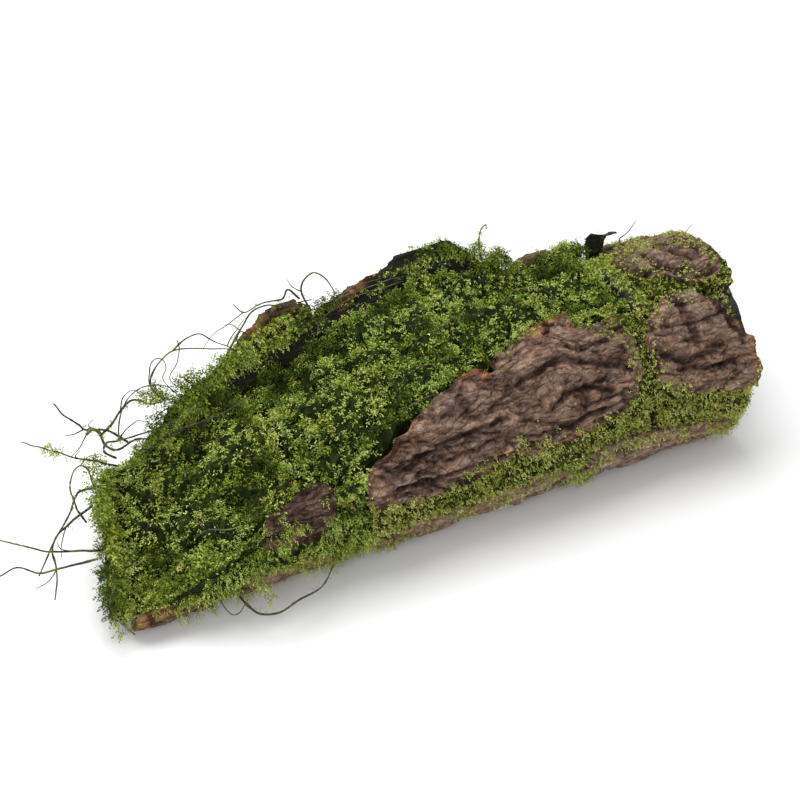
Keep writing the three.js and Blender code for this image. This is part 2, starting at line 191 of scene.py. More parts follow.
def solids_of(names):
    points, faces = [], []
    for name in names:
        start = sum(len(p) for p in points)
        points.append(positions(NODES[name].data))
        faces += [[v + start for v in face.vertices] for face in NODES[name].data.polygons]
    return BVHTree.FromPolygons(np.concatenate(points).tolist(), faces)


def positions(mesh):
    points = np.empty(len(mesh.vertices) * 3)
    mesh.vertices.foreach_get("co", points)
    return points.reshape(-1, 3)


def mesh_piece(name, points, faces, values=None, uv=None, smooth=True):
    """An object from points and equal-sided faces. values are colours' inputs, one for each point."""
    corners = faces.shape[1]
    mesh = bpy.data.meshes.new(name)
    mesh.vertices.add(len(points))
    mesh.vertices.foreach_set("co", points.astype(np.float32).ravel())
    mesh.loops.add(faces.size)
    mesh.loops.foreach_set("vertex_index", faces.astype(np.int32).ravel())
    mesh.polygons.add(len(faces))
    mesh.polygons.foreach_set("loop_start", np.arange(0, faces.size, corners, dtype=np.int32))
    mesh.polygons.foreach_set("use_smooth", np.full(len(faces), smooth))
    mesh.update(calc_edges=True)
    for key, value in (values or {}).items():
        mesh.attributes.new(key, "FLOAT", "POINT").data.foreach_set("value", value.astype(np.float32))
    if uv is not None:
        layer = mesh.uv_layers.new(name="OFBake")
        layer.uv.foreach_set("vector", uv[faces.ravel()].astype(np.float32).ravel())
    piece = bpy.data.objects.new(name, mesh)
    bpy.context.scene.collection.objects.link(piece)
    return piece


def finish_piece(piece, material, slot, *nodes):
    """Gives a piece its material and its body, and hides the nodes that it stands for. slot is not used."""
    piece.data.materials.append(material)
    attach(piece, "root")
    if nodes:
        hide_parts(*nodes)
    return piece


print("mesh helpers ready")

# %% [markdown]
# ## Materials: what several of them share
# Bark, dark wood and stems all show fine fibres that run along them, and green dust of young moss where
# moss is near. Both effects could be painted into each material, but as node groups they are built once and
# every material sets its own scale and strength. A group puts out only values and colours, the shader stays
# in the material.

# %% Shader node groups


def new_group(name, inputs, outputs):
    group = bpy.data.node_groups.new(name, "ShaderNodeTree")
    for label, kind, value in inputs:
        socket = group.interface.new_socket(label, in_out="INPUT", socket_type=kind)
        socket.default_value = value
    for label, kind in outputs:
        group.interface.new_socket(label, in_out="OUTPUT", socket_type=kind)
    return group, group.nodes.new("NodeGroupInput"), group.nodes.new("NodeGroupOutput")


def node(tree, kind, inputs=None, **settings):
    """A node with its settings, its inputs given as values or as the sockets that feed them."""
    made = tree.nodes.new("ShaderNode" + kind)
    for key, value in settings.items():
        setattr(made, key, value)
    for key, value in (inputs or {}).items():
        if isinstance(value, bpy.types.NodeSocket):
            tree.links.new(value, made.inputs[key])
        else:
            made.inputs[key].default_value = value
    return made


def ramp(tree, factor, stops):
    made = node(tree, "ValToRGB", {"Fac": factor})
    stops = list(stops)
    while len(made.color_ramp.elements) < len(stops):
        made.color_ramp.elements.new(0.5)
    for element, (place, colour) in zip(made.color_ramp.elements, stops):
        element.position = place
        element.color = (*colour, 1)
    return made.outputs["Color"]


def paint(hexa):
    """A colour as linear light, from a six-figure web colour."""
    parts = [int(hexa[i : i + 2], 16) / 255 for i in (0, 2, 4)]
    return tuple(c / 12.92 if c <= 0.04045 else ((c + 0.055) / 1.055) ** 2.4 for c in parts)


def mixed(tree, factor, a, b, blend="MIX"):
    made = node(tree, "Mix", data_type="RGBA", blend_type=blend)
    for socket, value in ((made.inputs["Factor"], factor), (made.inputs[6], a), (made.inputs[7], b)):
        if isinstance(value, bpy.types.NodeSocket):
            tree.links.new(value, socket)
        else:
            socket.default_value = value if isinstance(value, float) else (*value, 1)
    return made.outputs[2]


FIBRE, FIBRE_IN, FIBRE_OUT = new_group(
    "Fibres along the log",
    [
        ("Scale", "NodeSocketFloat", 60.0), ("Stretch", "NodeSocketFloat", 0.25),
        ("Detail", "NodeSocketFloat", 5.0),
    ],
    [("Height", "NodeSocketFloat"), ("Streak", "NodeSocketFloat")],
)
place = node(FIBRE, "TexCoord").outputs["Object"]
along = node(FIBRE, "CombineXYZ", {"X": FIBRE_IN.outputs["Stretch"], "Y": 1.0, "Z": 1.0})
stretched = node(FIBRE, "VectorMath", {0: place, 1: along.outputs[0]}, operation="MULTIPLY").outputs[0]
fine = node(
    FIBRE,
    "TexNoise",
    {
        "Vector": stretched, "Scale": FIBRE_IN.outputs["Scale"], "Detail": FIBRE_IN.outputs["Detail"],
        "Roughness": 0.62,
    },
)
broad_scale = node(FIBRE, "Math", {0: FIBRE_IN.outputs["Scale"], 1: 0.3}, operation="MULTIPLY").outputs[0]
broad = node(FIBRE, "TexNoise", {"Vector": stretched, "Scale": broad_scale, "Detail": 3.0})
FIBRE.links.new(fine.outputs["Fac"], FIBRE_OUT.inputs["Height"])
FIBRE.links.new(broad.outputs["Fac"], FIBRE_OUT.inputs["Streak"])

DUST, DUST_IN, DUST_OUT = new_group(
    "Green moss dust",
    [
        ("Color", "NodeSocketColor", (0.2, 0.2, 0.2, 1)),
        ("Dust", "NodeSocketColor", (*paint("8f9440"), 1)),
        ("Amount", "NodeSocketFloat", 0.5),
        ("Scale", "NodeSocketFloat", 90.0),
    ],
    [("Color", "NodeSocketColor"), ("Mask", "NodeSocketFloat")],
)
specks = node(
    DUST,
    "TexNoise",
    {
        "Vector": node(DUST, "TexCoord").outputs["Object"], "Scale": DUST_IN.outputs["Scale"],
        "Detail": 6.0, "Roughness": 0.7,
    },
)
raised = {0: specks.outputs["Fac"], 1: DUST_IN.outputs["Amount"]}
raised = node(DUST, "Math", raised, operation="ADD").outputs[0]
mask = node(DUST, "MapRange", {"Value": raised, "From Min": 0.92, "From Max": 1.12}).outputs[0]
DUST.links.new(mixed(DUST, mask, DUST_IN.outputs["Color"], DUST_IN.outputs["Dust"]), DUST_OUT.inputs["Color"])
DUST.links.new(mask, DUST_OUT.inputs["Mask"])

FLAKES, FLAKES_IN, FLAKES_OUT = new_group(
    "Bark flakes",
    [
        ("Scale", "NodeSocketFloat", 110.0), ("Stretch", "NodeSocketFloat", 0.4),
        ("Swirl", "NodeSocketFloat", 0.02),
    ],
    [("Height", "NodeSocketFloat"), ("Crack", "NodeSocketFloat"), ("Shade", "NodeSocketFloat")],
)
place = node(FLAKES, "TexCoord").outputs["Object"]
swirl = node(FLAKES, "TexNoise", {"Vector": place, "Scale": 45.0, "Detail": 4.0})
swirl = {0: swirl.outputs["Color"], "Scale": FLAKES_IN.outputs["Swirl"]}
swirl = node(FLAKES, "VectorMath", swirl, operation="SCALE")
place = node(FLAKES, "VectorMath", {0: place, 1: swirl.outputs[0]}, operation="ADD").outputs[0]
along = node(FLAKES, "CombineXYZ", {"X": FLAKES_IN.outputs["Stretch"], "Y": 1.0, "Z": 1.0}).outputs[0]
place = node(FLAKES, "VectorMath", {0: place, 1: along}, operation="MULTIPLY").outputs[0]
settings = {"Vector": place, "Scale": FLAKES_IN.outputs["Scale"]}
edge = node(FLAKES, "TexVoronoi", settings, feature="DISTANCE_TO_EDGE").outputs["Distance"]
cell = node(FLAKES, "TexVoronoi", settings).outputs["Color"]
crack = node(FLAKES, "MapRange", {"Value": edge, "From Max": 0.16, "To Min": 1.0, "To Max": 0.0}).outputs[0]
shade = node(FLAKES, "SeparateXYZ", {0: cell}).outputs["X"]
top = node(FLAKES, "Math", {0: shade, 1: crack}, operation="SUBTRACT").outputs[0]
FLAKES.links.new(top, FLAKES_OUT.inputs["Height"])
FLAKES.links.new(crack, FLAKES_OUT.inputs["Crack"])
FLAKES.links.new(shade, FLAKES_OUT.inputs["Shade"])


def grouped(tree, group, inputs):
    made = tree.nodes.new("ShaderNodeGroup")
    made.node_tree = group
    for key, value in inputs.items():
        if isinstance(value, bpy.types.NodeSocket):
            tree.links.new(value, made.inputs[key])
        else:
            made.inputs[key].default_value = value
    return made.outputs


def new_material(name, roughness, specular=0.3):
    material = bpy.data.materials.new(name)
    material.use_nodes = True
    shader = material.node_tree.nodes["Principled BSDF"]
    shader.inputs["Roughness"].default_value = roughness
    shader.inputs["Specular IOR Level"].default_value = specular
    return material, material.node_tree, shader


def wired(tree, shader, colour, height=None, depth=1 * MM, strength=1.0):
    tree.links.new(colour, shader.inputs["Base Color"])
    if height is not None:
        bump = node(tree, "Bump", {"Height": height, "Distance": depth, "Strength": strength})
        tree.links.new(bump.outputs[0], shader.inputs["Normal"])


def point_value(tree, name):
    return node(tree, "Attribute", attribute_name=name).outputs["Fac"]


print("groups", [group.name for group in bpy.data.node_groups])

# %% [markdown]
# ## Bark: the finish
# Old pine bark is grey with a touch of pink on its weathered ridges, darker in its furrows, and rusty orange
# where it has torn. Its furrows, cracks and creases and the undersides of its ledges are painted nearly
# black, partly as the bark's own darker colour and partly as painted shade. The shape below writes these
# places down as values on its points, so the colours follow the relief exactly and need no texture painting.
# Fine fibres and dust then come from the shared groups.

# %% Bark material
BARK, tree, shader = new_material("Weathered pine bark", 0.88, 0.2)
fibre = grouped(tree, FIBRE, {"Scale": 330.0, "Stretch": 0.3})
flake = grouped(tree, FLAKES, {"Scale": 105.0, "Stretch": 0.42, "Swirl": 0.03})
small = grouped(tree, FLAKES, {"Scale": 260.0, "Stretch": 0.5, "Swirl": 0.03})


def total(tree, *parts):
    """Sum of several values, each a socket with its weight."""
    so_far = 0.0
    for socket, weight in parts:
        so_far = node(tree, "Math", {0: socket, 1: weight, 2: so_far}, operation="MULTIPLY_ADD").outputs[0]
    return so_far


height = total(tree, (fibre["Height"], 0.9), (flake["Height"], 0.55), (small["Height"], 0.3))
# How dark each spot is painted: darker in furrows, creases and the flakes' cracks, partly the bark's own
# colour and partly painted shade, with painted shade under the ledges.
depth = total(
    tree,
    (point_value(tree, "furrow_dark_and_shade"), 0.9), (fibre["Height"], -0.8), (flake["Crack"], 0.22), (small["Crack"], 0.12),
    (flake["Shade"], -0.1),
)
depth = node(tree, "Math", {0: depth, 1: 0.34}, operation="ADD").outputs[0]
grey = [(0.0, "a38f83"), (0.22, "857061"), (0.45, "68564e"), (0.7, "46362f"), (1.0, "211712")]
warm = [(0.0, "a68974"), (0.25, "856856"), (0.5, "644b3f"), (0.75, "432f26"), (1.0, "1f140f")]
grey, warm = (ramp(tree, depth, [(stop, paint(colour)) for stop, colour in stops]) for stops in (grey, warm))
warmth = total(tree, (point_value(tree, "flake"), 0.6), (flake["Shade"], 0.5))
plates = mixed(tree, warmth, grey, warm)
rust = ramp(tree, depth, [(0.05, paint("c29372")), (0.35, paint("93603f")), (0.8, paint("46291a"))])
torn = mixed(tree, point_value(tree, "torn"), plates, rust)
dusting = {"Color": torn, "Amount": point_value(tree, "green"), "Dust": (*paint("84843c"), 1)}
dusted = grouped(tree, DUST, dusting)
wired(tree, shader, dusted["Color"], height, 1.9 * MM, 1.0)
print(BARK.name, len(tree.nodes), "nodes")

# %% [markdown]
# ## Bark: the shape
# A bark plate has grown in layers and cracked as the trunk swelled, so it shows long furrows along the log,
# ledges where a layer has flaked off, and a ragged rim. A displacement modifier could do this with a
# texture, but the furrows have to run along and round the log, and their depth is wanted for the colours
# too. So the plate's even net is moved in arrays, by noise measured along and round the log.

# %% Bark relief
# The deepest creases follow given routes: each one's width and its points on the plate, in millimetres. They
# are cut in and painted dark, partly as the bark's own colour and partly as painted shade.
CREASES = {
    "bark_front_right": [
        (4.6, [(55, -71, 142), (80, -66, 147), (102, -62, 150), (125, -72, 142), (161, -80, 129)]),
        (3.6, [(84, -86, 120), (104, -82, 128), (124, -84, 124), (140, -88, 116)]),
        (3, [(69, -96, 95), (100, -95, 100), (130, -93, 106)]),
    ],
    "bark_front_left": [
        (3.8, [(-58, -86, 104), (-37, -86, 113), (-10, -85, 119), (20, -85, 120), (38, -84, 122)]),
        (3.4, [(-68, -97, 94), (-31, -97, 90), (8, -97, 90), (35, -96, 92)]),
        (3, [(-20, -93, 102), (5, -91, 106), (30, -90, 108)]),
    ],
    "bark_round_end_front": [
        (7, [(218, -38, 166), (223, -53, 158), (226, -68, 149), (229, -80, 135)]),
        (6, [(188, -78, 137), (203, -86, 128), (218, -88, 122), (234, -86, 125), (250, -84, 128)]),
        (4.5, [(256, -60, 151), (266, -72, 141), (272, -84, 126)]),
        (4, [(204, -88, 118), (230, -92, 112), (262, -92, 110)]),
    ],
    "bark_round_end_top": [
        (4, [(220, 7, 171), (229, -8, 170), (240, -18, 168), (254, -22, 167)]),
        (4, [(262, 12, 170), (272, 4, 170), (281, -7, 170)]),
        (3.4, [(240, 18, 169), (249, 4, 171), (261, -9, 169)]),
    ],
}


def bark_relief(points, seed):
    """Height over the plate in metres, how dark it is painted in furrows and as painted shade under ledges,
    and each layer's own tone.
    """
    x, arc = points[:, 0], round_the_log(points)
    flat = np.stack([x, arc, np.full(len(x), seed * 0.37)], 1)
    flat[:, 0] += 9 * MM * uneven(flat, 26 * MM, seed + 50)
    flat[:, 1] += 8 * MM * uneven(flat, [34 * MM, 20 * MM, 1], seed + 51) + 0.16 * flat[:, 0]
    main = 1 - step_between(0.0, 0.1, np.abs(rough(flat, [70 * MM, 20 * MM, 1], seed)))
    minor = 1 - step_between(0.0, 0.14, np.abs(rough(flat, [26 * MM, 8 * MM, 1], seed + 9)))
    height, shadow, layer = 0.0, 0.0, 0.0
    for size, levels, rise in (([52, 20], 2.6, 2.0), ([22, 9], 2.2, 1.1)):
        terrace = levels * rough(flat, [size[0] * MM, size[1] * MM, 1], seed + 20 + size[0], 3)
        level = np.floor(terrace)
        height = height + rise * (level + step_between(0.75, 1.0, terrace - level))
        shadow = np.maximum(shadow, 1 - step_between(0.0, 0.16, np.abs(terrace - level - 0.8)))
        layer = layer + level * size[0]
    lumps = rough(flat, [8 * MM, 4 * MM, 1], seed + 30, 3)
    height = height - 2.6 * main - 1.0 * minor + 0.45 * lumps
    # Furrows are painted darker, partly their own colour and partly painted shade, and a strip under each
    # ledge gets painted shade.
    furrow_dark_and_shade = 0.2 + 0.4 * main + 0.2 * minor + 0.3 * shadow - 0.1 * lumps
    levels = np.stack([layer, layer * 0, layer * 0], 1).astype(np.int64)
    flake = step_between(-0.6, 0.8, lattice_value(levels, seed))
    return height * MM, np.clip(furrow_dark_and_shade, 0, 1), flake


def crease_depth(points, routes):
    """How much each point lies in a crease: 1 on its line, 0 a crease's width away."""
    deepest = np.zeros(len(points))
    warped = points + 2.2 * MM * np.stack([uneven(points, 7 * MM, 90 + k) for k in range(3)], 1)
    warped = np.stack([warped[:, 0], round_the_log(warped)], 1)
    for width, route in routes:
        route = np.array(route, float) * MM
        route = np.stack([route[:, 0], round_the_log(route)], 1)
        for a, b in zip(route, route[1:]):
            t = np.clip((warped - a) @ (b - a) / np.dot(b - a, b - a), 0, 1)[:, None]
            gap = np.linalg.norm(warped - a - t * (b - a), axis=1)
            deepest = np.maximum(deepest, 1 - step_between(0.15, 1.0, gap / (width * MM)))
    return deepest


# A plate can be made darker all over by a value of its own, and lighter where that value is negative.
def bark_plate(name, voxel, seed, green, torn_spots, lowered=0.0, plate_darkening=0.0):
    """A plate's finished piece. torn_spots are places along the log with their reach and strength."""
    points, quads, normals = fine_copy([name], voxel)
    out = from_middle(points)[1]
    facing = np.sum(normals * out, axis=1)
    skin = step_between(0.2, 0.75, facing)
    height, furrow_dark_and_shade, flake = bark_relief(points, seed)
    crease = crease_depth(points, CREASES.get(name, []))
    # Creases are cut deeper and painted darker: the bark's own darker colour with painted shade in them.
    height, furrow_dark_and_shade = height - 4.0 * MM * crease, furrow_dark_and_shade * (1 - 0.5 * crease) + 0.62 * crease
    wall = np.flatnonzero(np.abs(facing) < 0.5)
    edge = distance_to(points[wall], points)
    others = solids_of([other for other in NODES if other.startswith("bark") and other != name])
    beside = np.array([others.find_nearest(Vector(p))[3] or 1.0 for p in points])
    beside = 1 - step_between(3 * MM, 11 * MM, beside)
    worn = (1 - step_between(0, 8 * MM, edge)) * (1 - beside)
    ragged = rough(points, 9 * MM, seed + 70)
    move = out * (skin * (height * (1 - 0.4 * worn) - worn * 1.8 * MM * (1 + ragged)))[:, None]
    sideways = unit(normals - facing[:, None] * out)
    move += sideways * ((1 - skin) * (facing > -0.4) * (1.6 + 2.6 * beside + ragged * 3.0) * MM)[:, None]
    points = points + move
    points[:, 2] -= lowered * step_between(110, 150, points[:, 2] / MM)
    points[:, 2] = np.maximum(points[:, 2], 0.3 * MM)
    torn = np.zeros(len(points))
    for along, reach, strength in torn_spots:
        gap = np.abs(points[:, 0] / MM - along) / reach
        torn = np.maximum(torn, strength * (1 - step_between(0.5, 1.1, gap + 0.4 * ragged)))
    upper = step_between(-0.2, 0.4, sideways[:, 2] + 0.5 * (1 - skin))
    rim = (1 - step_between(3 * MM, 12 * MM, edge * (1 + 0.7 * ragged))) * (1 - 0.8 * beside)
    torn = np.clip(torn * rim * np.maximum(upper, 1 - skin) + 0.18 * worn * (ragged > 0.1), 0, 1)
    near_moss = (1 - step_between(0, 20 * MM, edge)) * 0.3 + green
    # The plate's open side walls are painted a little darker as well.
    furrow_dark_and_shade = np.clip(furrow_dark_and_shade + plate_darkening + 0.12 * (1 - skin) * (1 - beside), 0, 1)
    values = {"furrow_dark_and_shade": furrow_dark_and_shade, "flake": flake, "torn": torn, "green": near_moss}
    HARD_SHAPES.append((points, quads))
    return finish_piece(mesh_piece(name + "_bark", points, quads, values), BARK, "bark", name)


# %% [markdown]
# The plates that face the room get the finest net. Those on the back and underneath need fewer faces. The
# low end's plates are the most freshly torn, and the ones that lie in moss are the greenest.

# %% Bark plates
NET = 1.65 * MM
SIDE_NET = 2.2 * MM
BACK_NET = 3.0 * MM
HARD_SHAPES = []
BARK_PLATES = [
    # node, net, green dust, torn spots as place along the log in mm, reach in mm, strength, then if given how
    # far the plate's top is lowered and how much darker its whole colour is made, a negative value making it
    # lighter
    ("bark_front_left", NET, 0.02, [(22, 16, 1.0), (-60, 30, 0.35)]),
    ("bark_front_right", NET, 0.08, [(100, 24, 1.0)], 0.0, 0.05),
    ("bark_round_end_front", NET, 0.02, [(282, 7, 0.6)]),
    ("bark_round_end_top", SIDE_NET, 0.05, [(182, 14, 0.5)], 0.0, 0.1),
    ("bark_low_right", SIDE_NET, 0.12, [], 0.0, -0.12),
    ("bark_low_middle", SIDE_NET, 0.2, [(-60, 30, 0.4)], 0.0, -0.12),
    ("bark_low_left", SIDE_NET, 0.24, [(-230, 30, 0.4)]),
    ("bark_low_end", SIDE_NET, 0.14, [(-290, 34, 0.8)], 0.0, 0.1),
    ("bark_small_front", SIDE_NET, 0.04, [(-190, 12, 0.3)], 0.0, 0.4),
    ("bark_back_rim_left", BACK_NET, 0.16, [(-122, 16, 0.9)], 6 * MM, 0.3),
    ("bark_back_rim_middle", BACK_NET, 0.04, [(-40, 90, 0.55)]),
    ("bark_back_rim_right", BACK_NET, 0.1, [], 0.0, 0.15),
    ("bark_back_middle", BACK_NET, 0.08, [(0, 20, 0.4)]),
    ("bark_back_round_end", BACK_NET, 0.08, []),
    ("bark_back_low_left", BACK_NET, 0.15, []),
    ("bark_back_low_right", BACK_NET, 0.15, []),
]
bark_faces = 0
for number, (name, voxel, *settings) in enumerate(BARK_PLATES):
    piece = bark_plate(name, voxel, 11 + 13 * number, *settings)
    bark_faces += 2 * len(piece.data.polygons)
print(len(BARK_PLATES), "bark plates,", bark_faces, "triangles")

# %% [markdown]
# ## The log's own wood
# Where the bark is gone the wood is nearly black with damp, fibrous along the log, and a little green. The
# body and the skin that curls up at the back are the same wood, so they share one material. Their faceted
# construction shapes get an even net, and fibres are raised on it by noise stretched along the log. The
# round end was sawn, so it shows growth rings round the middle line, in a group of their own.

# %% Growth rings
RINGS, RINGS_IN, RINGS_OUT = new_group(
    "Growth rings",
    [("Scale", "NodeSocketFloat", 1500.0), ("Middle", "NodeSocketVector", (0, 0, 0))],
    [("Height", "NodeSocketFloat")],
)
place = node(RINGS, "TexCoord").outputs["Object"]
swirl = node(RINGS, "TexNoise", {"Vector": place, "Scale": 22.0, "Detail": 3.0}).outputs["Color"]
swirl = node(RINGS, "VectorMath", {0: swirl, "Scale": 12 * MM}, operation="SCALE").outputs[0]
place = node(RINGS, "VectorMath", {0: place, 1: swirl}, operation="ADD").outputs[0]
place = node(RINGS, "VectorMath", {0: place, 1: RINGS_IN.outputs["Middle"]}, operation="SUBTRACT").outputs[0]
place = node(RINGS, "VectorMath", {0: place, 1: (0, 1, 1)}, operation="MULTIPLY").outputs[0]
radius = node(RINGS, "VectorMath", {0: place}, operation="LENGTH").outputs["Value"]
turns = node(RINGS, "Math", {0: radius, 1: RINGS_IN.outputs["Scale"]}, operation="MULTIPLY").outputs[0]
wave = node(RINGS, "Math", {0: turns}, operation="SINE").outputs[0]
wave = node(RINGS, "MapRange", {"Value": wave, "From Min": -1.0}).outputs[0]
RINGS.links.new(wave, RINGS_OUT.inputs["Height"])
print("rings", round(2 * math.pi / 1500 / MM, 1), "mm apart")

# %% Dark wood
WOOD, tree, shader = new_material("Damp dark wood", 0.7, 0.3)
fibre = grouped(tree, FIBRE, {"Scale": 240.0, "Stretch": 0.12, "Detail": 6.0})
rings = grouped(tree, RINGS, {"Scale": 1500.0, "Middle": (0, 0, MIDDLE_Z)})
cut = point_value(tree, "cut")
cut_rings = node(tree, "Math", {0: cut, 1: rings["Height"]}, operation="MULTIPLY").outputs[0]
tone = total(tree, (fibre["Height"], 0.8), (fibre["Streak"], 0.5), (cut_rings, 0.34), (cut, 0.1))
height = total(tree, (fibre["Height"], 1.0), (cut_rings, 0.35))
wood = [(0.4, "0b0c08"), (0.62, "1d1d17"), (0.8, "37342b"), (0.95, "5a5244")]
wood = ramp(tree, tone, [(stop, paint(colour)) for stop, colour in wood])
dusting = {"Color": wood, "Amount": point_value(tree, "green"), "Dust": (*paint("5c6630"), 1)}
dusted = grouped(tree, DUST, dusting)
wired(tree, shader, dusted["Color"], height, 1.5 * MM, 1.0)


def wood_piece(name, voxel, seed, fibres, green):
    points, quads, normals = fine_copy([name], voxel)
    ridges = rough(points, [60 * MM, 7 * MM, 7 * MM], seed, 3)
    chips = uneven(points, [22 * MM, 12 * MM, 12 * MM], seed + 5)
    points = points + normals * (fibres * (ridges - 0.3 + 0.5 * chips))[:, None]
    points[:, 2] = np.maximum(points[:, 2], 0.2 * MM)
    patches = green + 0.28 * uneven(points, 45 * MM, seed + 9)
    cut = step_between(-2.5 * MM, -1 * MM, points[:, 0] - ROUND_END)
    patches = patches - 0.2 * cut
    HARD_SHAPES.append((points, quads))
    piece = mesh_piece(name + "_wood", points, quads, {"green": patches, "cut": cut})
    finish_piece(piece, WOOD, "dark_wood", name)
    print(f"{name}: {2 * len(quads)} triangles")


wood_piece("log_body", 4.9 * MM, 700, 1.2 * MM, 0.26)

# %% [markdown]
# The skin that curls up at the back is a thin sheet. Its construction solid only marks its place, so the
# sheet is built here from its four edges: a straight left edge, a right edge that bows inwards, and a tip
# that hooks over.

# %% Curled skin
SKIN_LEFT = [(207, 77, 118), (206, 77, 130), (204, 77, 142), (204, 76, 152), (208, 74, 157)]
SKIN_RIGHT = [(229, 79, 116), (226, 80, 128), (226, 80, 140), (230, 79, 149), (236, 75, 149)]
up_steps, cross_steps = 24, 16
v = np.linspace(0, 4, up_steps)
left, right = (
    np.stack([np.interp(v, range(5), np.array(side)[:, k]) for k in range(3)], 1)
    for side in (SKIN_LEFT, SKIN_RIGHT)
)
across = np.linspace(0, 1, cross_steps)[None, :, None]
sheet = (left[:, None] * (1 - across) + right[:, None] * across) * MM
bow = np.sin(across[0, :, 0] * np.pi)[None] * 3.5 * MM + 0 * v[:, None]
grain = rough(sheet.reshape(-1, 3), [3 * MM, 9 * MM, 24 * MM], 720, 3).reshape(bow.shape)
front = sheet - np.stack([0 * bow, bow + 1.6 * MM * grain + 0.9 * MM, 0 * bow], -1)
back = sheet - np.stack([0 * bow, bow - 1.6 * MM * grain - 0.9 * MM, 0 * bow], -1)
points = np.concatenate([front.reshape(-1, 3), back.reshape(-1, 3)])
grid = np.arange(up_steps * cross_steps).reshape(up_steps, cross_steps)
cells = np.stack([grid[:-1, :-1], grid[:-1, 1:], grid[1:, 1:], grid[1:, :-1]], -1).reshape(-1, 4)
rim = np.concatenate([grid[0, :], grid[1:, -1], grid[-1, -2::-1], grid[-2:0:-1, 0]])
nexts = np.roll(rim, -1)
hem = np.stack([rim, nexts, nexts + grid.size, rim + grid.size], -1)
faces = np.concatenate([cells, cells[:, ::-1] + grid.size, hem[:, ::-1]])
values = {"green": 0.3 + 0.2 * uneven(points, 12 * MM, 730), "cut": np.zeros(len(points))}
piece = mesh_piece("curled_skin_wood", points, faces, values)
finish_piece(piece, WOOD, "dark_wood", "curled_skin")
print("curled skin", 2 * len(faces), "triangles")

# %% [markdown]
# ## Moss: the finish
# A moss leaflet is bright yellow-green at its tip and dark at its foot, partly its own colour and partly
# painted shade, and shoots differ from one another. Moss that lies low is painted darker still, as painted
# shade.
# The leaflets carry two numbers each, how light and how yellow, laid out as a map. The material only looks
# them up in three colour ramps, which renders fast on a million small faces.

# %% Moss material


def moss_material(name, yellow, green, straw):
    material, tree, shader = new_material(name, 0.7, 0.08)
    where = node(tree, "SeparateXYZ", {0: node(tree, "UVMap", uv_map="OFBake").outputs[0]})
    light, tint = where.outputs["X"], where.outputs["Y"]
    stops = (0.0, 0.3, 0.65, 1.0)
    ramps = [ramp(tree, light, zip(stops, map(paint, colours))) for colours in (green, yellow, straw)]
    yellowness = node(tree, "MapRange", {"Value": tint, "From Max": 0.8}).outputs[0]
    dryness = node(tree, "MapRange", {"Value": tint, "From Min": 0.8, "From Max": 1.0}).outputs[0]
    colour = mixed(tree, dryness, mixed(tree, yellowness, ramps[0], ramps[1]), ramps[2])
    wired(tree, shader, colour)
    return material


MOSS = moss_material(
    "Feather moss",
    yellow=("0b0f03", "4f5c1c", "94a33a", "ccd678"),
    green=("070d03", "324a18", "698a34", "a9c36a"),
    straw=("120d05", "5a481c", "96803c", "c2ae68"),
)
SHORT_MOSS = moss_material(
    "Short yellow moss",
    yellow=("171604", "68681f", "acac50", "d2d284"),
    green=("0d1305", "415a1a", "80953a", "b3c26a"),
    straw=("1a120a", "5e4a2c", "8f7a50", "bda67c"),
)
print("moss materials", MOSS.name, "and", SHORT_MOSS.name)

# %% [markdown]
# ## Moss: one sprig
# A sprig is a short curved shoot with leaflets all along it, each a flat kite, wider ones low down and a
# star of small ones at the tip. Hair strands could carry the shoots, but only real faces travel with the
# model. A few different sprigs are made once, one unit long, and then repeated by the thousand.

# %% Sprig shapes


def sprig_shapes(leaves, seed, leaf=0.3, width=0.1, kinds=8):
    """Corners of each kind's kites, how far along the shoot each sits, and how near a leaflet's own tip."""
    rng = np.random.default_rng(seed)
    corners = np.empty((kinds, leaves, 4, 3))
    for kind in range(kinds):
        for k in range(leaves):
            t = 0.12 + 0.86 * (k + 0.5) / leaves
            turn = k * 2.4 + rng.uniform(-0.5, 0.5)
            spread = math.radians(rng.uniform(48, 68) if k < leaves - 3 else rng.uniform(25, 55))
            long = leaf * rng.uniform(0.75, 1.15) * (1.15 - 0.55 * t)
            aside = math.sin(spread)
            out = np.array([math.cos(spread), aside * math.cos(turn), aside * math.sin(turn)])
            side = unit(np.cross(out, rng.normal(size=3)))
            foot = np.array([t, 0, 0])
            middle = foot + out * long * 0.45
            corners[kind, k] = foot, middle + side * width / 2, foot + out * long, middle - side * width / 2
    along = np.clip(corners[..., 0], 0, 1.2)
    tip = np.broadcast_to([0.0, 0.55, 1.0, 0.55], (kinds, leaves, 4))
    return corners, along, tip


LONG_SPRIGS = sprig_shapes(12, 3, leaf=0.275, width=0.09)
SHORT_SPRIGS = sprig_shapes(6, 4, leaf=0.42, width=0.17)
print("a long sprig has", LONG_SPRIGS[0].shape[1], "leaflets, a short one", SHORT_SPRIGS[0].shape[1])

# %% [markdown]
# A place for a sprig has to be out in the open: moss does not grow where a plate lies on it. So every
# candidate place looks straight outwards, and if another piece of the construction model is close by, it is
# left bare. The net over the bark and the wood is where moss creeps on to from its mats, and the finished
# bark and wood are where its shoots are rooted.

# %% Where moss can grow


HARD = [name for name in NODES if name.startswith(("log", "bark", "curled"))]
HARD_SOLIDS = solids_of(HARD)
ALL_SOLIDS = solids_of([name for name in NODES if not name.startswith(("stem", "twig"))])


def in_the_open(solids, points, normals, reach):
    starts = points + normals * 0.8 * MM
    hits = [solids.ray_cast(Vector(p), Vector(n), reach)[0] for p, n in zip(starts, normals)]
    return np.array([hit is None for hit in hits], float)


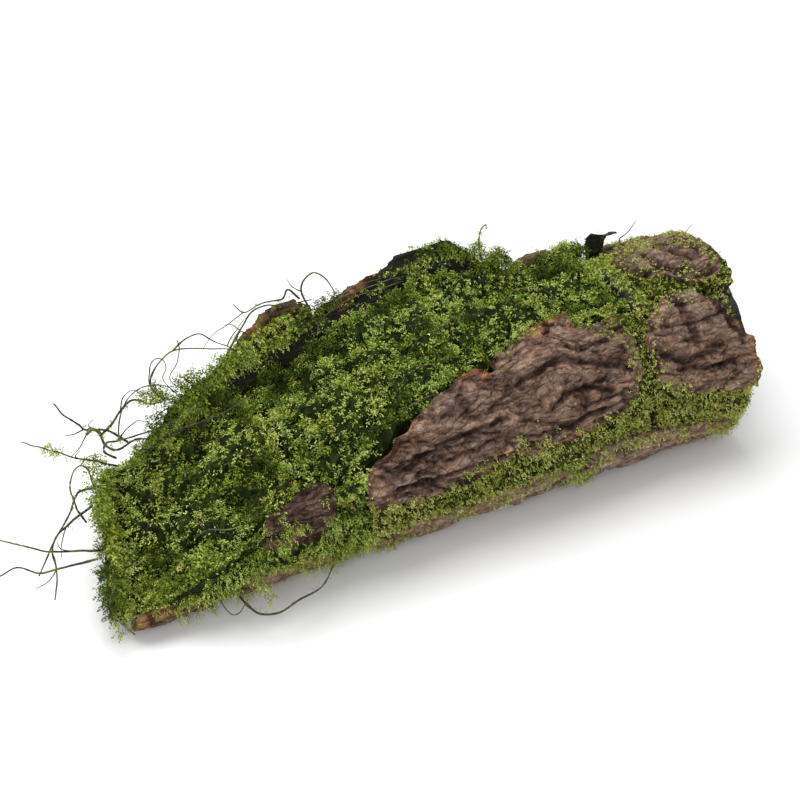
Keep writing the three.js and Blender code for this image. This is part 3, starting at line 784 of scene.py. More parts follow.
HOST, HOST_QUADS, HOST_NORMALS = fine_copy(HARD, 4 * MM)
starts = np.cumsum([0] + [len(points) for points, _ in HARD_SHAPES])
FINISHED = BVHTree.FromPolygons(
    np.concatenate([points for points, _ in HARD_SHAPES]).tolist(),
    np.concatenate([quads + start for (_, quads), start in zip(HARD_SHAPES, starts)]).tolist(),
)
HOST_OPEN = in_the_open(ALL_SOLIDS, HOST, HOST_NORMALS, 30 * MM)
WOOD_SOLID = solids_of(["log_body"])
HOST_WOOD = np.array([WOOD_SOLID.find_nearest(Vector(p))[3] < 2.5 * MM for p in HOST])


def scattered(points, quads, normals, count, rng, allowed):
    """Random places spread evenly over a net: points, normals and which quad each is on."""
    a, b, c, d = (points[quads[:, k]] for k in range(4))
    area = np.linalg.norm(np.cross(c - a, d - b), axis=1) * allowed[quads].mean(axis=1)
    pick = rng.choice(len(quads), count, p=area / area.sum())
    share = rng.random((count, 2))
    weights = np.stack([(1 - share[:, 0]) * (1 - share[:, 1]), share[:, 0] * (1 - share[:, 1])], 1)
    far_side = np.stack([share[:, 0] * share[:, 1], (1 - share[:, 0]) * share[:, 1]], 1)
    weights = np.concatenate([weights, far_side], 1)
    place = np.einsum("nk,nkd->nd", weights, points[quads[pick]])
    facing = unit(np.einsum("nk,nkd->nd", weights, normals[quads[pick]]))
    return place, facing, pick


print("the bark and wood net has", len(HOST), "points,", int(HOST_OPEN.sum()), "of them in the open")

# %% [markdown]
# ## Moss: mounds and hollows
# The bed is not a level lawn. Its shoots lie in long soft ridges along the log, with deep gaps between them,
# where the moss is painted darker as shade. The ridges and gaps are one function of place: how far the moss
# stays below the construction model's surface, which marks where the highest tips reach. A few of the deepest
# hollows have places of their own.

# %% How deep the moss lies
HOLLOWS = [
    # along, across, radius, depth, all in millimetres
    (-196, 22, 20, 22), (-120, 52, 22, 22), (-196, -40, 18, 18), (-268, 12, 13, 14), (-238, -52, 15, 16),
    (-60, 58, 16, 16), (-10, 20, 12, 10), (70, 46, 14, 12), (110, -10, 10, 9), (-262, -30, 15, 15),
    (-95, 66, 24, 18), (-150, 62, 22, 16), (-262, -58, 16, 14), (-176, -58, 14, 12), (172, 22, 12, 12),
]

# The rows of mounds lie at a slight angle to the log: the cosine and sine of that angle.
ROW_COS, ROW_SIN = 0.96, 0.28


def bed_drop(points):
    """How far below the surface the moss lies here, in metres."""
    along, across = points[:, 0], points[:, 1]
    rows = np.stack([ROW_COS * along - ROW_SIN * across, ROW_SIN * along + ROW_COS * across], 1)
    rows = np.concatenate([rows, points[:, 2:]], 1)
    warped = rows + 8 * MM * np.stack([uneven(rows, 24 * MM, 300 + k) for k in range(3)], 1)
    mounds, own = nearest_cells(warped * [0.5, 1, 1], 27 * MM, 310)
    tufts, _ = nearest_cells(warped * [0.7, 1, 1], 10 * MM, 320)
    fine = uneven(points, 4 * MM, 330)
    drop = 13 * step_between(0.32, 0.7, mounds) * (0.6 + 0.5 * own) + 1.5 * (1 - own)
    drop += 4 * step_between(0.25, 0.75, tufts) + 1.0 * fine - 1.2
    drop *= 0.3 + 0.7 * step_between(-294, -268, points[:, 0] / MM)
    for along, across, radius, depth in HOLLOWS:
        gap = np.hypot(points[:, 0] / MM - along, (points[:, 1] / MM - across) * 1.3)
        gap = gap * (1 + 0.35 * uneven(points, 9 * MM, 340))
        drop += depth * (1 - step_between(0.35 * radius, radius, gap))
    return np.maximum(drop, 0) * MM


def pad_drop(points):
    tufts, _ = nearest_cells(points * [0.8, 1, 1], 9 * MM, 420)
    drop = 2.6 * step_between(0.2, 0.8, tufts) + 1.6 * step_between(-0.2, 0.7, uneven(points, 16 * MM, 430))
    return drop * MM


def slope_of(drop, points, step=1.5 * MM):
    """The drop at the points, and which way it gets deeper."""
    here = drop(points)
    return here, np.stack([(drop(points + step * np.eye(3)[k]) - here) / step for k in range(3)], 1)


sample = bed_drop(np.random.default_rng(0).uniform(-0.08, 0.08, (5000, 3)))
print("bed lies", (sample / MM).min().round(1), "to", (sample / MM).max().round(1), "mm below its tips")

# %% [markdown]
# ## Moss: growing it
# Each mat is a cushion painted near black, as painted shade deep in the moss, with sprigs standing out of it,
# all in one mesh. The cushion is the construction solid's fine net pushed inwards, so no gap shows between
# shoots. The sprigs follow the mounds' slope, lean at random, are combed a little along the log, and droop
# under their own weight.

# %% Growing moss
CLUMP = 12 * MM
CUSHION_ROUGH = 1.1 * MM
# This close to the round end no shoot leans outwards, so that the moss stays near the model's box.
KEPT_BACK = 14 * MM
# The map's second number: green up to the first of these, and dry straw at the second.
LAST_GREEN, STRAW = 0.78, 0.95


def grow(shapes, places, directions, lengths, light, tint, rng, droop=0.3):
    """Corners (n, 3), quads and the two map numbers of a sprig at every place."""
    corners, along, tip = shapes
    kind = rng.integers(len(corners), size=len(places))
    side = unit(np.cross(directions, rng.normal(size=directions.shape)))
    third = np.cross(directions, side)
    local = corners[kind].reshape(len(places), -1, 3)
    t = along[kind].reshape(len(places), -1)
    frame_axes = np.stack([directions, side, third], 1)
    world = places[:, None] + lengths[:, None, None] * np.einsum("nkc,ncd->nkd", local, frame_axes)
    world[..., 2] -= lengths[:, None] * droop * t**2
    tips = tip[kind].reshape(len(places), -1)
    # A sprig is painted darker towards its foot, partly the moss's own colour and partly painted shade, and a
    # little lighter at its leaflets' tips.
    shade = light[:, None] * (0.42 + 0.58 * t) + 0.12 * tips * light[:, None] + 0.04 * tips
    tints = np.broadcast_to(tint[:, None], shade.shape) + 0.1 * t
    uv = np.stack([np.clip(shade, 0.01, 0.99), np.clip(tints, 0.01, 0.99)], -1)
    count = world.shape[0] * world.shape[1]
    return world.reshape(-1, 3), np.arange(count).reshape(-1, 4), uv.reshape(-1, 2)


def both(first, second):
    return lambda points, normals: np.maximum(first(points, normals), second(points, normals))


def sky(points):
    return np.broadcast_to([0.0, 0.0, 1.0], points.shape)


def outwards(points):
    return from_middle(points)[1]


def tuft_sprigs(start, end, count, spread, length, light, tint, rng):
    """Sprigs all round a line between two places in millimetres: feet, ways, lengths, lightness and tint."""
    start, end = np.array(start, float), np.array(end, float)
    t = rng.random((count, 1))
    way = rng.normal(size=(count, 3)) + 0.5 * unit(end - start + 1e-6)
    way = unit(way)
    feet = (start + (end - start) * t + way * spread * rng.random((count, 1))) * MM
    lights = np.clip(light * rng.uniform(0.6, 1.2, count), 0, 1)
    tints = np.clip(tint + 0.12 * rng.normal(size=count), 0, LAST_GREEN)
    return feet, way, length * MM * rng.uniform(0.7, 1.2, count), lights, tints


def along_stem(name, low, high, count, length=3.2, light=0.75, tint=0.5):
    """Tufts for the part of a stem between two shares of its length."""
    line = STEM_LINES[name] / MM
    a, b = int(low * (len(line) - 1)), int(high * (len(line) - 1))
    stops = np.linspace(a, b, 4).astype(int)
    each = max(1, count // 3)
    return [(line[i], line[j], each, 0.6, length, light, tint) for i, j in zip(stops, stops[1:])]


def moss_piece(name, triangles, seed, out, drop, shapes, length, net=4 * MM, lean=0.4, comb=0.3, droop=0.3,
               sink=3.5 * MM, bright=1.0, yellow=0.45, creep=10 * MM, patchy=0.4, also=None, tufts=(),
               on_host_long=0.62, reach_out=0.0, material=None, slot="bed_moss"):
    rng = np.random.default_rng(seed)
    points, quads, normals = fine_copy([name], net)
    raised = np.sum(normals * out(points), axis=1)
    free = in_the_open(HARD_SOLIDS, points, normals, 1.2 * MM) * (0.3 + 0.7 * step_between(-0.3, 0.4, raised))
    upper = step_between(-0.7, -0.1, raised)
    cushion = points - out(points) * ((drop(points) + sink) * upper)[:, None]
    cushion += CUSHION_ROUGH * rng.normal(size=cushion.shape) * upper[:, None]
    cushion[:, 2] = np.maximum(cushion[:, 2], 0.5 * MM)

    edge = distance_to(points, HOST) * (1 + patchy * uneven(HOST, 10 * MM, seed + 3))
    host_share = 1 - step_between(0.35 * creep, creep, edge)
    if also is not None:
        host_share = np.maximum(host_share, also(HOST, HOST_NORMALS))
    shared_quads = np.concatenate([quads, HOST_QUADS + len(points)])
    tuft_quads = SHORT_SPRIGS[0].shape[1] * sum(tuft[2] for tuft in tufts)
    sprigs = (triangles // 2 - len(quads) - tuft_quads) // shapes[0].shape[1]
    places, facing, pick = scattered(
        np.concatenate([points, HOST]), shared_quads, np.concatenate([normals, HOST_NORMALS]), sprigs, rng,
        np.concatenate([free, HOST_OPEN * host_share]),
    )
    on_host = pick >= len(quads)
    places = places + reach_out * (1 - step_between(0, 26 * MM, places[:, :1] - OPEN_END)) * [-1, 0, 0]

    depth, slope = slope_of(drop, places)
    depth = np.where(on_host, 0.3 * depth, depth)
    slope -= np.sum(slope * facing, axis=1, keepdims=True) * facing
    outward = out(places)
    low_side = 1 - np.clip(np.sum(facing * outward, axis=1, keepdims=True), 0, 1)
    way = unit(unit(facing + 0.9 * slope) + 1.1 * low_side * outward) + lean * rng.normal(size=facing.shape)
    way += comb * np.array([1, 0, 0]) * rng.normal(0.4, 0.8, (sprigs, 1))
    waved = places * [0.55, 1, 1] + 3 * MM * uneven(places, CLUMP, seed)[:, None]
    clump, own = nearest_cells(waved, CLUMP, 440)
    turn = 2 * math.pi * (7 * own % 1)
    way += 0.5 * np.stack([np.cos(turn), 0.7 * np.sin(turn), np.zeros(sprigs)], 1)
    way = unit(way)
    way[:, 0] = np.where(places[:, 0] > ROUND_END - KEPT_BACK, -np.abs(way[:, 0]), way[:, 0])
    way = unit(np.where(np.sum(way * facing, axis=1, keepdims=True) < 0.15, way + 0.6 * facing, way))
    lengths = rng.uniform(*length, sprigs) * np.where(on_host, on_host_long, 1.0)
    rise = np.clip(np.sum(way * facing, axis=1), 0.2, 1)
    rooted = places.copy()
    for i in np.flatnonzero(on_host):
        found, _, _, gap = FINISHED.find_nearest(Vector(places[i]), 12 * MM)
        rooted[i] = found if found is not None else places[i]
    feet = rooted - facing * np.where(on_host, 0.4 * MM, depth + lengths * rise * 0.95)[:, None]

    # Sprigs are painted darker the lower they sit in the mounds and hollows, and towards the edges of their
    # clumps: painted shade. Each patch and clump also differs in tone at random.
    reach = 15 * MM if drop is bed_drop else 6 * MM
    height = 1 - np.clip(depth / reach, 0, 1) * (1.0 if drop is bed_drop else 0.7)
    patch = uneven(places, 22 * MM, seed + 1)
    light = bright * (0.1 + 0.82 * height**1.2) * rng.uniform(0.7, 1.2, sprigs) + 0.08 * patch
    light *= 1.22 - 0.5 * step_between(0.3, 0.85, clump) + 0.36 * (own - 0.5)
    light = 0.94 * np.clip(light, 0, 1) ** 0.64
    tint = yellow + 0.28 * uneven(places, 34 * MM, seed + 2) + 0.13 * rng.normal(size=sprigs)
    dry = rng.random(sprigs) < 0.03 + 0.05 * (patch > 0.6)
    tint = np.where(dry, STRAW, np.clip(tint, 0, LAST_GREEN))
    world, kites, uv = grow(shapes, feet, way, lengths, np.clip(light, 0.03, 1), tint, rng, droop)
    if tufts:
        more = [np.concatenate(parts) for parts in zip(*(tuft_sprigs(*tuft, rng) for tuft in tufts))]
        extra, extra_kites, extra_uv = grow(SHORT_SPRIGS, *more, rng, 0.2)
        kites = np.concatenate([kites, extra_kites + len(world)])
        world, uv = np.concatenate([world, extra]), np.concatenate([uv, extra_uv])
    world[:, 2] = np.maximum(world[:, 2], 1 * MM)
    # The cushion is painted near black: painted shade deep inside the moss.
    shaded_cushion_uv = np.stack([0.01 + 0.16 * rng.random(len(cushion)) ** 2, np.full(len(cushion), 0.4)], 1)
    piece = mesh_piece(
        name + "_growth",
        np.concatenate([cushion, world]),
        np.concatenate([quads, kites + len(cushion)]),
        uv=np.concatenate([shaded_cushion_uv, uv]),
        smooth=False,
    )
    finish_piece(piece, material or MOSS, slot, name)
    creeping, drawn = int(on_host.sum()), 2 * (len(quads) + len(kites))
    print(f"{name}: {sprigs} sprigs, {creeping} creeping, {drawn} triangles")


def zone(low, high, test, share=1.0, patchy=0.0, seed=0, host=HOST_WOOD):
    """Moss over the wood between two places along the log, where the test on place and facing is true."""

    def mask(points, normals):
        x = points[:, 0] / MM
        inside = host & (x > low) & (x < high) & test(points / MM, normals)
        patches = step_between(patchy - 0.2, patchy + 0.2, 0.5 + 0.5 * uneven(points, 24 * MM, seed + 900))
        return inside * share * (patches if patchy else 1.0)

    return mask


def back_wall(p, n):
    return (p[:, 1] > 20) & (n[:, 1] < 0.3) & (p[:, 2] > 70)


def front_wall(p, n):
    return (p[:, 1] < -20) & (p[:, 2] > 22) & (n[:, 2] > -0.4)


def top_edge(p, n):
    return (p[:, 1] > 6) & (n[:, 2] > 0.3) & (p[:, 2] > 120)


def small_plate(p, n):
    return (p[:, 1] < -68) & (p[:, 2] > 64) & (p[:, 2] < 118)


def rims(p, n):
    inner_back = (p[:, 1] > 20) & (p[:, 0] < -150) & (n[:, 1] < 0.3) & (p[:, 2] > 70)
    return (n[:, 2] > 0.3) & (p[:, 2] > 22) | inner_back


def back_outside(p, n):
    return (p[:, 1] > 30) & (n[:, 1] > 0.1) & (p[:, 2] > 25)


def top_side(p, n):
    return (n[:, 2] > 0.05) & (p[:, 2] > 60)



# %% [markdown]
# ## Stems
# The long thin things at the open end are dry runners and rootlets of the moss and of a creeper, dark and
# wiry. Each is a stiff strand that tapers, with small kinks where a leaf once sat. Curves with a bevel
# could make them, but tubes from arrays can taper, wander and carry knots at once. Each follows the same
# route as in the construction model, with finer bends, and some carry side shoots that the construction
# model leaves out.

# %% Stem material
STEM, tree, shader = new_material("Dry dark stem", 0.6, 0.3)
fibre = grouped(tree, FIBRE, {"Scale": 420.0, "Stretch": 0.8})
skin = ramp(tree, fibre["Height"], [(0.3, paint("23221c")), (0.5, paint("3b3930")), (0.7, paint("5a5648"))])
green = point_value(tree, "green")
dusted = grouped(tree, DUST, {"Color": skin, "Amount": green, "Dust": (*paint("6f7a35"), 1), "Scale": 160.0})
wired(tree, shader, dusted["Color"], fibre["Height"], 0.3 * MM, 0.8)

# %% Stem shapes


def smooth_route(route, step=2.2 * MM):
    """A route's points in metres with rounded bends between them."""
    p = np.array(route, float) * MM
    p = np.concatenate([2 * p[:1] - p[1:2], p, 2 * p[-1:] - p[-2:-1]])
    pieces = []
    for a, b, c, d in zip(p[:-3], p[1:-2], p[2:-1], p[3:]):
        count = max(2, int(np.linalg.norm(c - b) / step))
        t = np.linspace(0, 1, count, endpoint=False)[:, None]
        square, cube = (2 * a - 5 * b + 4 * c - d) * t**2, (3 * b - a - 3 * c + d) * t**3
        pieces.append(0.5 * (2 * b + (c - a) * t + square + cube))
    return np.concatenate(pieces + [p[-2:-1]])


def tube(route, width, seed, sides=6):
    """Points and quads of a tapering strand, its width in millimetres at the foot."""
    line = smooth_route(route)
    wander = np.stack([uneven(line, 13 * MM, seed + k) for k in range(3)], 1)
    share = np.linspace(0, 1, len(line))
    line = line + 0.9 * MM * wander * np.minimum(1, 4 * share)[:, None]
    way = unit(np.gradient(line, axis=0))
    side = unit(np.cross(way, [0.3, 0.5, 0.81]))
    up = np.cross(way, side)
    knots = 1 + 0.35 * step_between(0.45, 0.8, uneven(line, 5 * MM, seed + 9))
    radius = width / 2 * MM * (1 - 0.5 * share) * knots * (1 + 0.15 * uneven(line, 3 * MM, seed + 12))
    turn = np.linspace(0, 2 * np.pi, sides, endpoint=False)
    ring = np.cos(turn)[None, :, None] * side[:, None] + np.sin(turn)[None, :, None] * up[:, None]
    points = (line[:, None] + radius[:, None, None] * ring).reshape(-1, 3)
    rows, k = np.arange(len(line) - 1)[:, None] * sides, np.arange(sides)[None]
    nexts = (k + 1) % sides
    quads = np.stack([rows + k, rows + nexts, rows + sides + nexts, rows + sides + k], -1).reshape(-1, 4)
    caps = [[0, 1, 2, 5], [2, 3, 4, 5]]
    ends = [[c + start for c in cap] for cap in caps for start in (0, len(points) - sides)]
    return points, np.concatenate([quads, np.array(ends)]), line


# %% Stem routes
# Each stem: its width and route as in the construction model, then side shoots as width and route.
STEMS = {
    "stem_left_long_upper": [
        (2.2, [
            (-299, -8, 46), (-310, -15, 56), (-330, -25, 73), (-352, -35, 91), (-372, -40, 111),
            (-389, -45, 128), (-400, -50, 139)
        ]),
        (1.2, [(-330, -25, 73), (-338, -30, 84), (-341, -34, 96)]),
    ],
    "stem_left_long_lower": [
        (2.2, [
            (-310, -31, 61), (-326, -35, 66), (-346, -40, 73), (-362, -45, 80), (-379, -50, 98),
            (-394, -55, 100), (-407, -58, 101)
        ]),
        (1.1, [(-346, -40, 73), (-356, -46, 69), (-368, -52, 71)]),
    ],
    "stem_left_loop": [
        (2.0, [
            (-305, 10, 65), (-314, 0, 93), (-318, -8, 121), (-313, 0, 130), (-304, 8, 129), (-296, 14, 116),
            (-292, 20, 95), (-290, 20, 80)
        ]),
        (1.0, [(-304, 8, 129), (-296, 6, 138), (-288, 4, 139)]),
    ],
    "stem_left_hanging": [
        (2.2, [
            (-283, 30, 80), (-292, 27, 84), (-306, 18, 92), (-318, 0, 94), (-328, -9, 87), (-338, -15, 81),
            (-347, -22, 75), (-360, -32, 63)
        ]),
        (1.9, [
            (-240, 56, 76), (-219, 48, 95), (-199, 39, 108), (-175, 30, 118), (-147, 29, 128),
            (-123, 31, 131)
        ]),
        (1.7, [(-232, -50, 68), (-222, -56, 78), (-208, -66, 81), (-196, -70, 84), (-182, -66, 90)]),
    ],
    "stem_left_crossing": [
        (2.2, [
            (-296, 20, 71), (-311, 10, 74), (-324, 0, 77), (-336, -10, 77), (-342, -15, 68),
            (-342, -20, 57), (-345, -25, 44), (-348, -25, 25)
        ]),
        (1.2, [(-324, 0, 77), (-331, -6, 68), (-334, -12, 57)]),
    ],
    "twig_left_straight": [
        (2.0, [(-264, 40, 87), (-285, 30, 108), (-302, 25, 123), (-324, 20, 143), (-347, 10, 169)]),
        (1.1, [(-302, 25, 123), (-305, 18, 133), (-301, 12, 141)]),
    ],
    "twig_left_forked": [
        (2.4, [
            (-248, 60, 92), (-265, 55, 115), (-280, 50, 126), (-287, 48, 130), (-301, 40, 154),
            (-312, 35, 176)
        ]),
        (1.4, [(-287, 48, 130), (-297, 43, 132), (-306, 38, 139)]),
        (1.2, [(-280, 50, 126), (-284, 42, 139), (-280, 36, 148)]),
    ],
    "stem_upper_arc": [
        (2.4, [
            (-274, 50, 116), (-262, 50, 125), (-254, 52, 133), (-242, 58, 137), (-234, 60, 133),
            (-227, 55, 130), (-210, 50, 132), (-198, 50, 122)
        ]),
        (1.2, [(-254, 52, 133), (-250, 52, 147), (-241, 52, 152), (-233, 50, 145)]),
        (1.0, [(-227, 55, 130), (-222, 52, 138), (-215, 50, 142)]),
        (1.9, [
            (-212, 58, 128), (-222, 58, 140), (-222, 58, 156), (-214, 60, 166), (-201, 62, 172),
            (-184, 64, 168), (-166, 66, 160), (-147, 68, 151), (-136, 70, 142)
        ]),
        (1.5, [
            (-201, 62, 172), (-193, 62, 178), (-184, 64, 180), (-174, 66, 178), (-166, 66, 170),
            (-158, 68, 162), (-150, 68, 156), (-138, 70, 144)
        ]),
        (1.3, [
            (-214, 56, 132), (-224, 56, 148), (-223, 56, 168), (-217, 56, 175), (-211, 56, 171),
            (-209, 56, 162), (-212, 56, 150), (-204, 57, 132)
        ]),
        (1.1, [(-196, 60, 183), (-195, 60, 173), (-200, 58, 161), (-207, 56, 150), (-200, 58, 134)]),
        (1.2, [(-150, 68, 156), (-145, 70, 163), (-138, 70, 170), (-132, 72, 175)]),
        (1.3, [
            (-128, 72, 142), (-136, 72, 148), (-140, 72, 156), (-137, 72, 162), (-131, 72, 159),
            (-126, 73, 150)
        ]),
    ],
    "stem_upper_twist": [
        (3.0, [
            (-289, 34, 136), (-283, 36, 138), (-276, 38, 129), (-273, 40, 114), (-264, 36, 108),
            (-248, 37, 112), (-236, 38, 107)
        ]),
        (1.3, [(-289, 34, 136), (-296, 30, 128), (-305, 26, 126)]),
    ],
    "stem_mid_loop": [
        (2.2, [
            (-269, 25, 110), (-280, 20, 125), (-275, 25, 129), (-264, 30, 123), (-242, 40, 114),
            (-219, 45, 111)
        ]),
        (1.2, [(-264, 30, 123), (-257, 30, 133), (-246, 32, 136), (-238, 36, 128)]),
        (1.4, [
            (-264, 30, 123), (-257, 44, 132), (-247, 50, 145), (-237, 52, 151), (-225, 54, 150),
            (-213, 56, 145), (-203, 58, 132), (-196, 58, 118)
        ]),
    ],
    "stem_back_fork": [
        (2.0, [
            (-81, 72, 180), (-90, 75, 191), (-94, 77, 181), (-105, 78, 181), (-118, 78, 181),
            (-130, 78, 178), (-139, 78, 189)
        ]),
        (1.1, [(-130, 78, 178), (-144, 78, 170), (-158, 76, 166), (-170, 72, 158)]),
    ],
    "stem_back_long_arc": [
        (2.0, [
            (-155, 70, 134), (-148, 72, 146), (-135, 75, 162), (-125, 75, 177), (-111, 75, 180),
            (-88, 74, 175), (-69, 73, 174)
        ]),
        (1.1, [(-135, 75, 162), (-142, 74, 172), (-150, 72, 175)]),
    ],
    "stem_back_loop": [
        (2.0, [
            (-74, 70, 171), (-79, 72, 187), (-76, 72, 199), (-67, 73, 203), (-56, 74, 192), (-49, 74, 178),
            (-48, 74, 171)
        ]),
        (1.0, [(-79, 72, 187), (-88, 72, 196), (-92, 72, 204)]),
        (1.8, [
            (96, 68, 150), (94, 70, 164), (91, 72, 182), (92, 73, 194), (95, 73, 200), (98, 73, 201),
            (98, 73, 196)
        ]),
        (1.7, [(-46, -50, 132), (-33, -54, 142), (-17, -52, 142), (-9, -60, 148)]),
        (1.3, [(7, -1, 160), (33, 4, 168), (57, 3, 166)]),
        (1.3, [(84, 10, 158), (96, 16, 168), (111, 16, 166), (124, 8, 164), (130, -8, 160)]),
        (1.3, [(-62, 80, 148), (-42, 80, 160), (-18, 76, 168), (4, 72, 172), (28, 72, 170)]),
        (1.2, [(-66, 74, 146), (-44, 76, 157), (-20, 74, 164), (0, 68, 169), (14, 66, 172)]),
        (1.2, [(-58, 84, 150), (-36, 84, 162), (-14, 80, 170), (8, 78, 172), (26, 76, 176)]),
    ],
    "stem_front_low_arc": [
        (2.2, [
            (-210, -87, 24), (-208, -100, 24), (-204, -120, 31), (-190, -125, 32), (-171, -122, 35),
            (-147, -112, 31), (-128, -94, 31)
        ]),
        (1.3, [(-232, -92, 44), (-230, -106, 38), (-226, -112, 34), (-219, -112, 34), (-208, -100, 32)]),
    ],
    "stem_low_corner": [
        (2.0, [(-305, -60, 55), (-312, -64, 44), (-314, -68, 31), (-309, -80, 31), (-303, -92, 27)]),
    ],
    "stem_round_end_top": [
        (1.4, [(232, 62, 146), (232, 64, 150), (240, 64, 154), (250, 66, 162)]),
        (1.0, [(284, 44, 140), (286, 42, 150), (290, 40, 158), (293, 38, 163)]),
        (1.0, [(285, 6, 126), (291, 4, 124), (295, 2, 117)]),
        (1.0, [(286, -30, 118), (291, -33, 108), (290, -36, 96)]),
    ],
}
STEM_LINES = {}
stem_faces = 0
for number, (name, strands) in enumerate(STEMS.items()):
    points, faces, start = [], [], 0
    for part, (width, route) in enumerate(strands):
        p, q, line = tube(route, width, 5000 + 40 * number + 7 * part)
        points.append(p)
        faces.append(q + start)
        start += len(p)
        STEM_LINES.setdefault(name, line)
    points = np.concatenate(points)
    points[:, 2] = np.maximum(points[:, 2], 0.5 * MM)
    green = 0.42 + 0.2 * uneven(points, 18 * MM, 60 + number)
    piece = mesh_piece(name + "_strand", points, np.concatenate(faces), {"green": green})
    finish_piece(piece, STEM, "stem", name)
    stem_faces += 2 * start
print(len(STEMS), "stems, about", stem_faces, "triangles")
# %% [markdown]
# Some stems carry little tufts of their own, which grow along part of the strand.

# %% Tufts on stems
STEM_TUFTS = (
    along_stem("twig_left_straight", 0.6, 0.76, 54, 6, 0.9, 0.75)
    + along_stem("twig_left_straight", 0.1, 0.4, 21, 5)
    + along_stem("stem_left_long_upper", 0.55, 1.0, 12, 3)
    + along_stem("stem_left_long_lower", 0.5, 0.9, 9, 3)
    + along_stem("stem_left_loop", 0.3, 0.7, 15, 3.5)
    + along_stem("stem_left_hanging", 0.1, 0.5, 30, 4.5)
    + along_stem("stem_left_crossing", 0.1, 0.6, 21, 4)
    + along_stem("stem_upper_arc", 0.0, 0.8, 36, 4.5)
    + along_stem("stem_upper_twist", 0.1, 0.9, 27, 4.5)
    + along_stem("twig_left_forked", 0.1, 0.6, 30, 4.5)
    + along_stem("stem_mid_loop", 0.2, 0.9, 30, 4.5)
    + along_stem("stem_back_fork", 0.1, 0.9, 21, 3.5)
    + along_stem("stem_back_long_arc", 0.1, 0.6, 18, 3.5)
    + along_stem("stem_back_loop", 0.1, 0.4, 9, 3.5)
    + along_stem("stem_front_low_arc", 0.1, 0.9, 15, 3)
)

# %% [markdown]
# The bed is three mats, with a curtain of the same moss hanging over the open end.

# %% Moss bed
BED_LENGTH = (9 * MM, 16 * MM)


def tuft_row(start, run, number, stray, tip_low, tip_high, count, spread, length):
    """Tufts in a row along a wall, each a little out of line and with a lightness of its own."""
    row = []
    for t in np.linspace(0, 1, number):
        foot = np.array(start) + t * np.array(run) + rng.uniform(-stray, stray, 3)
        tip = foot + rng.uniform(tip_low, tip_high)
        row.append((foot, tip, count, spread, length, rng.uniform(0.5, 0.95), 0.55))
    return row


# Every tuft: where it starts and ends, how many sprigs, how wide, how long each sprig is, lightness, tint.
BACK_SPRIG = [
    ((94, 70, 156), (91, 72, 182), 150, 3.5, 6, 0.7, 0.6),
    ((76, 73, 172), (90, 72, 180), 90, 3.5, 6, 0.55, 0.5),
    ((91, 72, 182), (93, 73, 198), 34, 1.2, 4, 0.85, 0.7),
    ((93, 73, 198), (98, 73, 201), 9, 0.8, 3, 0.9, 0.7),
    ((98, 73, 201), (97, 73, 195), 6, 0.8, 3, 0.9, 0.7),
    ((98, 70, 156), (108, 71, 170), 150, 4, 6.5, 0.7, 0.55),
    ((110, 71, 158), (126, 70, 148), 110, 4.5, 7, 0.7, 0.5),
    ((148, 75, 136), (166, 76, 144), 90, 4, 6, 0.35, 0.45),
    ((166, 76, 144), (190, 76, 147), 150, 4.5, 6.5, 0.65, 0.5),
    ((180, 77, 138), (194, 76, 144), 130, 4.5, 6.5, 0.4, 0.45),
    ((184, 74, 134), (200, 72, 139), 150, 4.5, 6, 0.45, 0.45),
    ((188, 76, 130), (198, 76, 146), 110, 5, 6.5, 0.4, 0.45),
    ((100, 72, 156), (116, 71, 164), 200, 4.5, 6.5, 0.35, 0.5),
    ((28, 80, 182), (60, 80, 186), 110, 3.5, 6, 0.45, 0.4),
    ((56, 80, 186), (86, 80, 172), 120, 3.5, 6, 0.55, 0.45),
]
rng = np.random.default_rng(77)
LOW_TUFTS = [((-306, -74, 34), (-312, -82, 24), 30, 4, 7, 0.8, 0.65)]
for y in np.linspace(-62, 60, 21):
    foot = np.array([-306 + 0.3 * (y + 53), y, rng.uniform(26, 72) - 0.25 * abs(y - 20)])
    tip = foot + rng.uniform((-9, -4, -6), (-1, 4, 6))
    # Tufts towards the front (y below -12 mm) get half the lightness: painted shade.
    LOW_TUFTS.append((foot, tip, 44, 5, 7.5, rng.uniform(0.45, 0.9) * (0.5 if y < -12 else 1), 0.5))
for y in np.linspace(0, 66, 6):
    foot = np.array([-292 + 0.3 * (y + 10), y, 74])
    LOW_TUFTS.append((foot, foot + rng.uniform((-12, -4, 4), (-2, 4, 16)), 34, 5, 7.5, 0.8, 0.55))
HANGING_TUFTS = [
    ((-199, 58, 122), (-190, 60, 140), 150, 7, 8, 0.6, 0.5),
    ((-186, 60, 116), (-176, 61, 132), 120, 7, 8, 0.5, 0.5),
    ((-168, 64, 122), (-158, 66, 144), 150, 6, 8, 0.7, 0.6),
    ((-156, 66, 128), (-146, 68, 142), 110, 5, 7.5, 0.8, 0.6),
    ((-212, 56, 124), (-220, 55, 146), 90, 5, 7, 0.6, 0.6),
    ((-224, 52, 140), (-232, 50, 144), 60, 4, 7, 0.7, 0.6),
    ((-206, 52, 112), (-196, 56, 124), 90, 6, 8, 0.6, 0.5),
    ((-146, 69, 138), (-134, 71, 146), 60, 4, 6.5, 0.7, 0.55),
    ((-236, 44, 94), (-222, 50, 110), 80, 6, 8, 0.5, 0.55),
    ((-226, 50, 108), (-210, 54, 122), 90, 6, 8, 0.45, 0.5),
    ((-252, 38, 84), (-240, 44, 98), 60, 5, 7.5, 0.6, 0.55),
]
WALL_TUFTS = [((-192, -95, 52), (-189, -101, 26), 40, 3, 7, 0.8, 0.7)]
WALL_TUFTS += tuft_row((-278, -58, 30), (86, -20, 36), 9, 4, (-4, -8, -2), (8, 4, 7), 46, 6, 8)
WALL_TUFTS += tuft_row((-282, -66, 26), (92, -6, 36), 13, 3, (-4, -4, 2), (8, 4, 9), 44, 5, 7.5)
